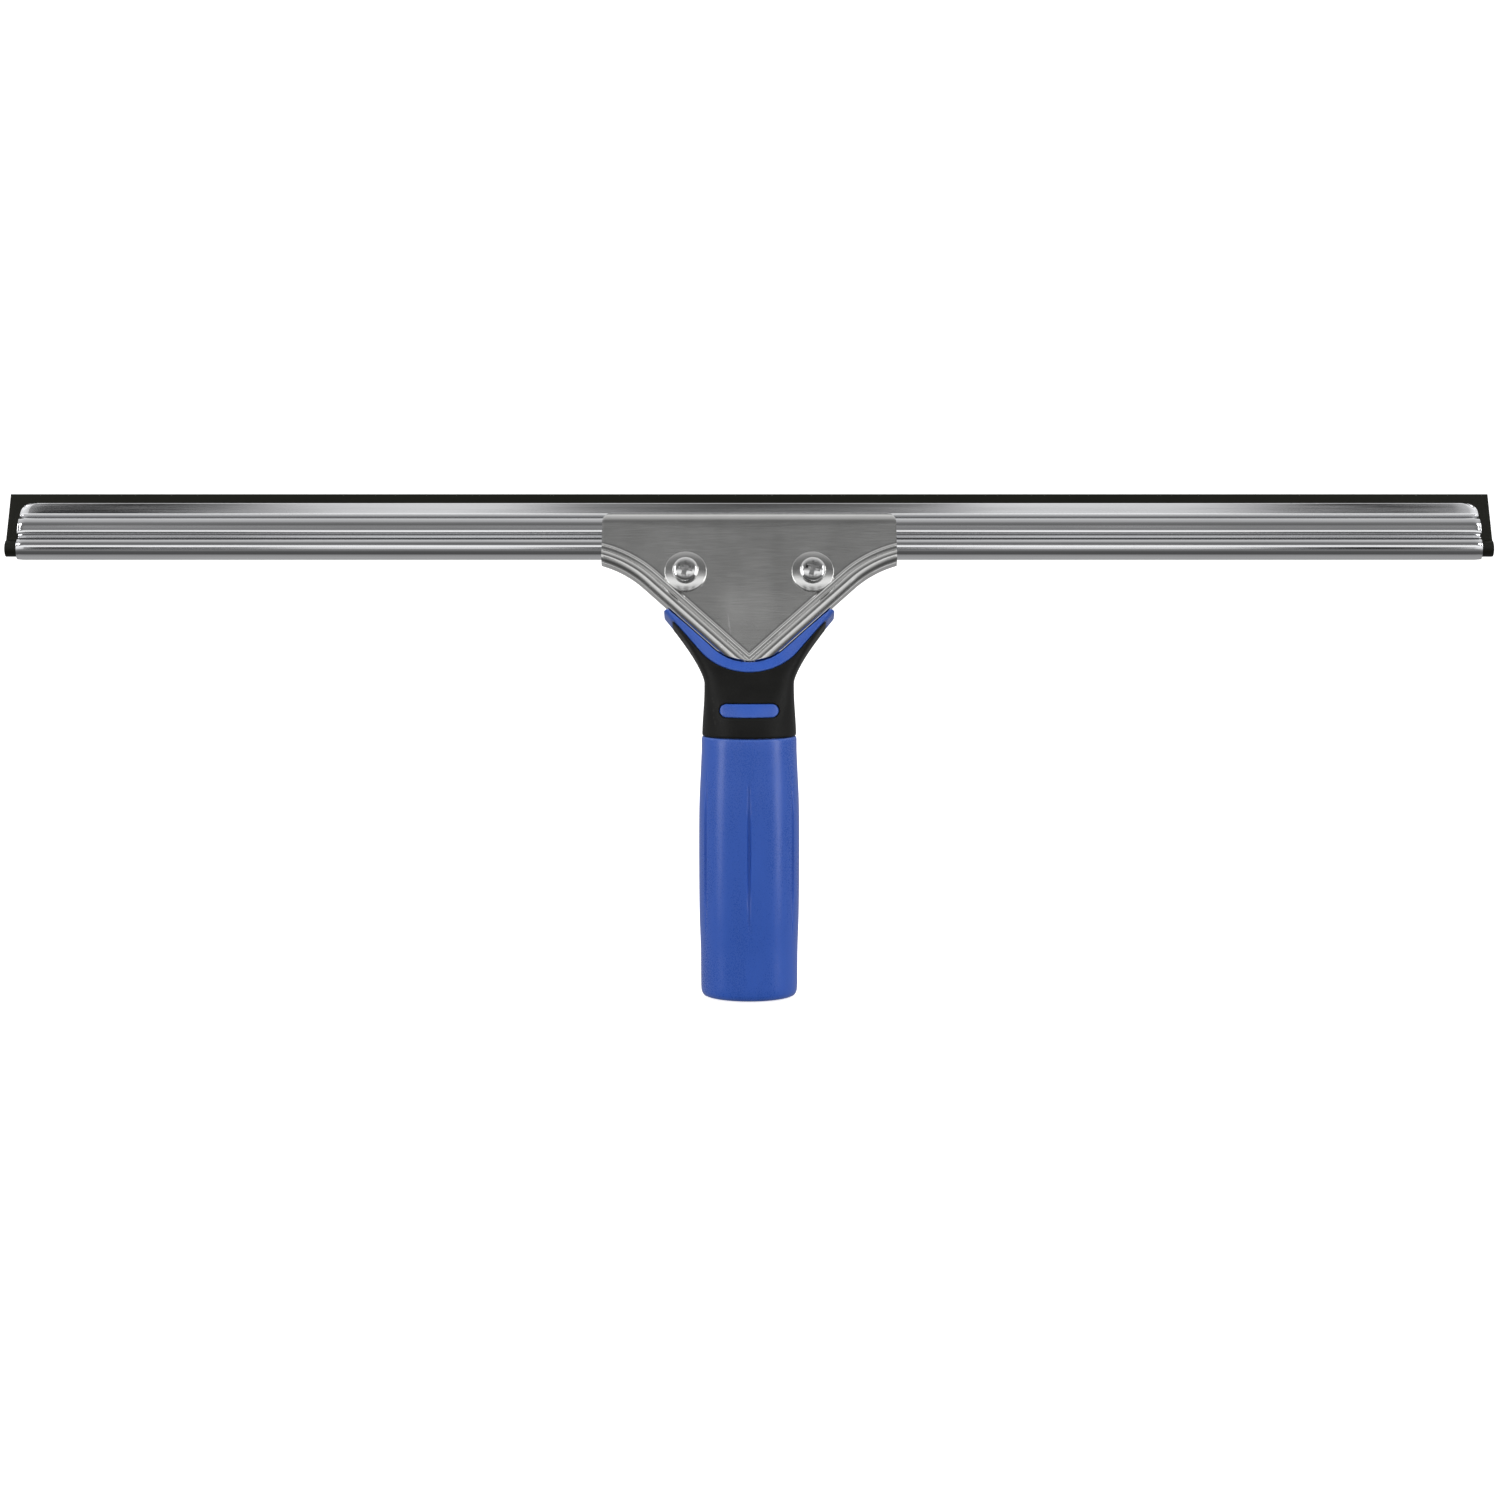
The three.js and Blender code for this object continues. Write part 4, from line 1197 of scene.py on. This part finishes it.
@dataclass
class Handle:
    """The blue core and grip, the black neck sleeve, and the pins inside.

    Args:
        head: The head's frame.
        outline: The plates' lower edge, which the cradle follows.
        bench: The bench that they are made on.
    """

    head: HeadFrame
    outline: JawOutline
    bench: Bench
    gap: float = 0.3
    sleeve: float = 1.7
    cradle_width: float = 4.3
    cradle_angle: float = 50.5
    cradle_tip: float = 28.2
    tip_drop: float = -1.2
    block_top: float = 24.0
    plate_gap: float = 4.9
    flange_back: float = -2.2
    rear_raise: float = 4.4
    bar_half_length: float = 10.8
    bar_half_height: float = 2.4
    bar_height: float = 105.8
    bar_root: float = -8.0
    bar_cell: float = 0.3
    catch_height: float = 64.0
    catch_width: float = 9.0
    catch_length: float = 12.0
    groove_count: int = 6
    groove_low: float = 23.0
    groove_high: float = 84.0
    groove_half_width: float = 0.95
    groove_depth: float = 1.0
    cell: float = 0.36
    reach: float = 40.0
    high: float = 70.0

    def __post_init__(self) -> None:
        """Sets out the neck's shape."""
        self.neck = Neck(self.head)

    def build(self) -> None:
        """Makes every piece of the handle from the grip up, and gives the imported hidden pins screw steel."""
        self._grip()
        self._socket()
        self._yoke()
        self._window_bar()
        self._neck_sleeve()
        for node in ("upper_tang_pin", "lower_tang_pin"):
            pin = frame["nodes"][node]
            pin.data.materials.clear()
            pin.data.materials.append(SCREW_STEEL.material())
            LOG.info("%s: carried over in screw steel", node)

    def _grip(self) -> Object:
        """Turns the grip's sleeve, presses its lens-shaped grooves and cuts the catch's window."""
        outside = flowing(
            [
                (17.65, 1.8), (17.8, 4), (17.86, 11), (17.95, 18), (18.4, 32),
                (18.55, 53), (18.45, 70), (17.95, 82), (17.6, 90),
            ],
            9,
        )
        foot = [(15.2, 0.25), (15.45, 0), (16.3, 0), (16.9, 0.25), (17.35, 0.85)]
        crown = [(17.55, 94.6), (17.42, 95.2), (17.15, 95.5), (15.4, 95.5), (15.2, 95.3)]
        bm = turned(foot + outside + crown, 360, closed=True)
        for vert in bm.verts:
            self._press_groove(vert)
        grip = self.bench.blank(bm, "grip_shell")
        grip = self.bench.work(grip, self._catch_cutter(), Cut.REMOVE)
        return self.bench.hand_over(grip, "handle", BLUE_PLASTIC, "blue_plastic", ["grip_sleeve"], 40)

    def _press_groove(self, vert: BMVert) -> None:
        """Moves an outer vertex of the grip in where a groove runs."""
        radius = math.hypot(vert.co.x, vert.co.y)
        middle = (self.groove_high + self.groove_low) / 2
        along = (vert.co.z - middle) / (self.groove_high - middle)
        if radius < 16 or abs(along) >= 1:
            return
        sector = FULL_TURN / self.groove_count
        angle = math.atan2(vert.co.y, vert.co.x) + math.pi / 2
        off = abs((angle + sector / 2) % sector - sector / 2) * radius
        half = self.groove_half_width * math.sqrt(1 - along * along)
        if off < half:
            depth = self.groove_depth * (1 - along * along) * math.cos(off / half * math.pi / 2) ** 0.8
            vert.co.x *= 1 - depth / radius
            vert.co.y *= 1 - depth / radius

    def _catch_cutter(self) -> Object:
        """The cutter for the window that the pole's catch snaps into, at the back."""
        radius = self.catch_width / 2
        reach = (self.catch_length - self.catch_width) / 2
        ends = arc((0, self.catch_height + reach), radius, 0, 180, 16) + arc(
            (0, self.catch_height - reach), radius, 180, 360, 16
        )
        return self.bench.blank(prism([Vector((x, 5, z)) for x, z in ends], Vector((0, 25, 0))), "catch")

    def _socket(self) -> Object:
        """Turns the core's tapered pole socket and cuts the same window into it."""
        profile = [
            (0, 97.5), (14.9, 97.5), (14.9, 1.05), (14.7, 0.8), (13.9, 0.8), (13.45, 0.95), (13.15, 1.4),
            (13.0, 2.2), (12.0, 42.0), (11.0, 82.6), (10.75, 83.6), (10.0, 84.0), (0, 84.0),
        ]
        socket = self.bench.blank(turned(profile, 120), "pole_socket_liner")
        socket = self.bench.work(socket, self._catch_cutter(), Cut.REMOVE)
        return self.bench.hand_over(socket, "handle", BLUE_PLASTIC, "blue_plastic", ["handle_core"], 35)

    def _region(self, edge: list[tuple[float, float]], front: float, back: float) -> Object:
        """Everything above an edge in the head's frame, between two depths, as a solid."""
        left = [(-x, up) for x, up in reversed(edge[1:])]
        reach = edge[-1][0]
        outline = left + edge + [(reach, self.high), (-reach, self.high)]
        bm = prism([Vector((x, front, up)) for x, up in outline], Vector((0, back - front, 0)))
        bm.transform(self.head.matrix())
        return self.bench.blank(bm, "region")

    def _cradle_edge(self, grow: float) -> list[tuple[float, float]]:
        """The cradle's outer edge from the middle to one tip."""
        centre = self.outline.tip_bottom + self.outline.tip_radius
        radius = self.outline.tip_radius + self.cradle_width + grow
        edge = arc((0, centre), radius, -90, self.cradle_angle - 90, 24)
        edge[0] = (0.0, centre - radius)
        x, up = edge[-1]
        up += (self.cradle_tip - x) * math.tan(math.radians(self.cradle_angle))
        return edge + [(self.cradle_tip, up), (self.reach, up - self.tip_drop)]

    def _plate_edge(self, inset: float) -> list[tuple[float, float]]:
        """The plates' lower edge from the middle to one ear, moved in by an inset."""
        edge = [station.moved_in(inset) for station in self.outline.half_run()]
        return [(0.0, edge[0][1]), *edge[1:]]

    def _yoke(self) -> Object:
        """The top of the core: the cradle round the plates' tips and the block between the plates."""
        bench, reach = self.bench, self.reach
        cradle = bench.blank(self.neck.solid(0.1), "core_yoke")
        cradle = bench.work(cradle, self._region(self._cradle_edge(0), -reach, reach), Cut.KEEP)
        block = bench.blank(self.neck.solid(0.1), "block")
        back = self.plate_gap - self.gap
        block = bench.work(block, self._region(self._plate_edge(-1), self.flange_back, back), Cut.KEEP)
        block = bench.work(block, self._region(self._cradle_edge(0), -reach, reach), Cut.KEEP)
        room = self._region(self._plate_edge(-self.gap), -reach, self.plate_gap)
        cradle = bench.work(cradle, room, Cut.REMOVE)
        rear = self._region(self._plate_edge(self.rear_raise - self.gap), self.plate_gap - self.gap, reach)
        cradle = bench.work(cradle, rear, Cut.REMOVE)
        stem = bench.blank(self.neck.solid(self.sleeve + self.gap), "stem")
        stem = bench.work(stem, self._region(self._plate_edge(-self.gap), -reach, reach), Cut.REMOVE)
        bench.gather(cradle, (stem, block, self._upper_block()))
        bench.moulded(cradle, self.cell, 3)
        return bench.hand_over(cradle, "handle", BLUE_PLASTIC, "blue_plastic", ["handle_core"], 60)

    def _upper_block(self) -> Object:
        """The block that keeps the plates apart, up to the channel's underside."""
        inset = self.rear_raise + 0.6
        depth = self.plate_gap - self.gap
        edge = [point for point in self._plate_edge(inset) if point[1] < self.block_top]
        left = [(-x, up) for x, up in reversed(edge[1:])]
        outline = left + edge + [(edge[-1][0], self.block_top), (-edge[-1][0], self.block_top)]
        bm = prism([Vector((x, -depth, up)) for x, up in outline], Vector((0, 2 * depth, 0)))
        bm.transform(self.head.matrix())
        return self.bench.blank(bm, "upper_block")

    def _bar_solid(self, grow: float) -> BMesh:
        """A stadium across the neck, from in front of it to the bar's root."""
        half = self.bar_half_length - self.bar_half_height
        radius = self.bar_half_height + grow
        right = arc((half, self.bar_height), radius, -90, 90, 14)
        ends = right + arc((-half, self.bar_height), radius, 90, 270, 14)
        outline = [Vector((x, -self.reach, z)) for x, z in ends]
        return prism(outline, Vector((0, self.reach + self.bar_root, 0)))

    def _window_bar(self) -> Object:
        """The plain bar of the core that shows through the window in the sleeve."""
        bar = self.bench.blank(self._bar_solid(0), "neck_window_bar")
        bar = self.bench.work(bar, self.bench.blank(self.neck.solid(0.25), "neck"), Cut.KEEP)
        self.bench.moulded(bar, self.bar_cell, 3)
        return self.bench.hand_over(bar, "handle", BLUE_PLASTIC, "blue_plastic", ["handle_core"], 60)

    def _neck_sleeve(self) -> Object:
        """The soft black sleeve over the neck, open along the cradle and round the bar."""
        bench = self.bench
        sleeve = bench.blank(self.neck.solid(0), "neck_cover")
        hollow = self.neck.solid(self.sleeve)
        sleeve = bench.work(sleeve, bench.blank(hollow, "hollow"), Cut.REMOVE)
        edge = self._cradle_edge(self.gap * 0.6)
        sleeve = bench.work(sleeve, self._region(edge, -self.reach, self.reach), Cut.REMOVE)
        bar = bench.blank(self._bar_solid(self.gap * 0.6), "bar")
        sleeve = bench.work(sleeve, bar, Cut.REMOVE)
        bench.moulded(sleeve, self.cell, 2)
        return bench.hand_over(sleeve, "handle", BLACK_SLEEVE, "black_sleeve", ["neck_sleeve"], 60)


# ---- studio -----------------------------------------------------------------------------------------------


@dataclass(frozen=True)
class SoftBox:
    """One soft studio light.

    Args:
        name: Its name.
        place: Where it hangs, in metres.
        target: The point that it faces.
        size: Width and height in metres.
        watts: Its power.
        mirrored: Whether glossy surfaces show it.
    """

    name: str
    place: tuple[float, float, float]
    target: tuple[float, float, float]
    size: tuple[float, float]
    watts: float
    mirrored: bool = True

    def hang(self) -> None:
        """Adds the light to the scene."""
        light = bpy.data.lights.new(self.name, "AREA")
        light.shape = "RECTANGLE"
        light.size, light.size_y = self.size
        light.energy = self.watts
        lamp = bpy.data.objects.new(self.name, light)
        lamp.location = self.place
        way = Vector(self.target) - Vector(self.place)
        lamp.rotation_euler = way.to_track_quat("-Z", "Y").to_euler()
        lamp.visible_glossy = self.mirrored
        bpy.context.scene.collection.objects.link(lamp)


@dataclass
class Studio:
    """A plain pale floor that rises into a backdrop, soft lights, and the camera."""

    distance: float = 1.110
    eye: float = 0.192
    lens: float = 72.0
    sensor: float = 36.0
    shift_up: float = -0.18333
    floor_drop: float = 0.0006
    half_width: float = 9.0
    fore: float = -9.0
    aft: float = 2.2
    sweep: float = 0.9
    wall: float = 6.0

    def build(self) -> None:
        """Sets up everything around the object."""
        self._camera()
        self._floor()
        self._world()
        middle = (0.0, 0.0, 0.12)
        for box in (
            SoftBox("left_strip", (-1.25, -0.45, 0.45), middle, (0.35, 1.3), 7.0),
            SoftBox("right_strip", (1.25, -0.45, 0.45), middle, (0.35, 1.3), 7.0),
            SoftBox("overhead", (0.0, -0.2, 1.5), middle, (1.8, 0.9), 4.0, mirrored=False),
            SoftBox("front_fill", (0.0, -1.6, 0.6), middle, (2.0, 1.2), 7.0, mirrored=False),
        ):
            box.hang()
        bpy.context.scene.view_settings.view_transform = "Standard"

    def _camera(self) -> None:
        """A level camera in front of the grip's axis."""
        camera = bpy.data.cameras.new("camera")
        camera.lens = self.lens
        camera.sensor_width = self.sensor
        camera.shift_y = self.shift_up
        camera.clip_start, camera.clip_end = 0.05, 50.0
        eye = bpy.data.objects.new("camera", camera)
        eye.location = (0.0003, -self.distance, self.eye)
        eye.rotation_euler = (math.pi / 2, 0, 0)
        bpy.context.scene.collection.objects.link(eye)
        bpy.context.scene.camera = eye

    def _floor(self) -> None:
        """The pale sweep: a floor, a round rise and a wall."""
        bm = bmesh.new()
        rise = arc((self.aft, self.sweep), self.sweep, -90, 0, 24)
        run = [(self.fore, 0.0), *rise, (self.aft + self.sweep, self.wall)]
        edges = wire(bm, [Vector((-self.half_width, y, z - self.floor_drop)) for y, z in run])
        pull(bm, edges, lambda vert: vert.co + Vector((2 * self.half_width, 0, 0)))
        mesh = bpy.data.meshes.new("sweep")
        bm.to_mesh(mesh)
        bm.free()
        mesh.shade_smooth()
        sweep = bpy.data.objects.new("sweep", mesh)
        bpy.context.scene.collection.objects.link(sweep)
        material = bpy.data.materials.new("pale_paper")
        material.use_nodes = True
        shader = material.node_tree.nodes["Principled BSDF"]
        shader.inputs["Base Color"].default_value = (0.9, 0.9, 0.9, 1)
        shader.inputs["Roughness"].default_value = 0.9
        shader.inputs["Emission Color"].default_value = (1, 1, 1, 1)
        shader.inputs["Emission Strength"].default_value = 0.8
        mesh.materials.append(material)
        sweep.visible_glossy = False
        sweep.visible_diffuse = False

    def _world(self) -> None:
        """The room: bright above, a pale band in front, dark below the bench, and dark flags to the sides."""
        world = bpy.data.worlds.new("room")
        bpy.context.scene.world = world
        world.use_nodes = True
        tree = world.node_tree
        nodes, links = tree.nodes, tree.links
        way = nodes.new("ShaderNodeSeparateXYZ")
        links.new(nodes.new("ShaderNodeTexCoord").outputs["Generated"], way.inputs[0])
        flip = nodes.new("ShaderNodeMath")
        flip.operation = "MULTIPLY"
        flip.inputs[1].default_value = -1.0
        links.new(way.outputs["Y"], flip.inputs[0])
        round_x = nodes.new("ShaderNodeMath")
        round_x.operation = "ARCTAN2"
        links.new(way.outputs["Z"], round_x.inputs[0])
        links.new(flip.outputs[0], round_x.inputs[1])
        height = self._ramp(tree, _ranged(tree, round_x.outputs[0], 0, 1, (-math.pi, math.pi)), self.bands())
        flags = self._ramp(tree, _ranged(tree, way.outputs["X"], 0, 1, (-0.5, 0.5)), self.flags())
        low_front = self._ramp(
            tree,
            _ranged(tree, round_x.outputs[0], 0, 1, (-math.pi, math.pi)),
            [(0.47, 0.0), (0.49, 1.0), (0.54, 1.0), (0.56, 0.0)],
        )
        flagged = nodes.new("ShaderNodeMix")
        flagged.data_type = "RGBA"
        links.new(low_front, flagged.inputs[ColourMix.FACTOR.value])
        flagged.inputs[ColourMix.FIRST.value].default_value = (1, 1, 1, 1)
        links.new(flags, flagged.inputs[ColourMix.SECOND.value])
        glow = nodes["Background"]
        tone = _mix(tree, height, flagged.outputs[ColourMix.RESULT.value], "MULTIPLY")
        links.new(tone, glow.inputs["Color"])
        glow.inputs["Strength"].default_value = 1.2

    @staticmethod
    def bands() -> list[tuple[float, float]]:
        """Brightness of the room round the X axis: 0.5 is level in front, 0.75 is overhead, 0.25 is below."""
        return [
            (0.0, 0.35), (0.20, 0.35), (0.29, 0.3), (0.36, 0.07), (0.42, 0.10), (0.485, 0.26), (0.505, 0.75),
            (0.545, 0.85), (0.565, 1.0), (0.585, 1.0), (0.607, 0.24), (0.63, 0.13), (0.67, 0.18), (0.72, 0.45),
            (0.76, 0.55), (0.81, 0.75), (0.87, 0.95), (0.93, 0.3), (1.0, 0.35),
        ]

    @staticmethod
    def flags() -> list[tuple[float, float]]:
        """Brightness of the low front across X: dark flags at both sides and a soft one behind the camera."""
        return [
            (0.0, 0.9), (0.235, 0.75), (0.262, 0.02), (0.325, 0.05), (0.355, 0.9), (0.42, 0.95), (0.443, 0.2),
            (0.5, 0.1), (0.557, 0.2), (0.58, 0.95), (0.655, 0.9), (0.68, 0.05), (0.715, 0.02), (0.75, 0.75),
            (1.0, 0.9),
        ]

    @staticmethod
    def _ramp(
        tree: NodeTree, value: bpy.types.NodeSocket, stops: list[tuple[float, float]]
    ) -> bpy.types.NodeSocket:
        """A grey ramp through stops of (place, brightness)."""
        ramp = tree.nodes.new("ShaderNodeValToRGB")
        ramp.color_ramp.interpolation = "EASE"
        while len(ramp.color_ramp.elements) < len(stops):
            ramp.color_ramp.elements.new(0.5)
        for element, (place, tone) in zip(ramp.color_ramp.elements, stops):
            element.position = place
            element.color = (tone, tone, tone, 1)
        tree.links.new(value, ramp.inputs[0])
        return ramp.outputs[0]


def main() -> None:
    logging.basicConfig(level=logging.INFO, format="%(name)s %(message)s")
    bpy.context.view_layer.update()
    bench = Bench()
    head = HeadFrame.from_joints(frame["joints"])
    outline = JawOutline()
    Blade(head, bench).build()
    for facing in Facing:
        JawPlate(facing, outline, head, bench).build()
    for side in Side:
        ClampScrew(side, head, bench).build()
    Handle(head, outline, bench).build()
    Studio().build()


if __name__ == "__main__":
    main()
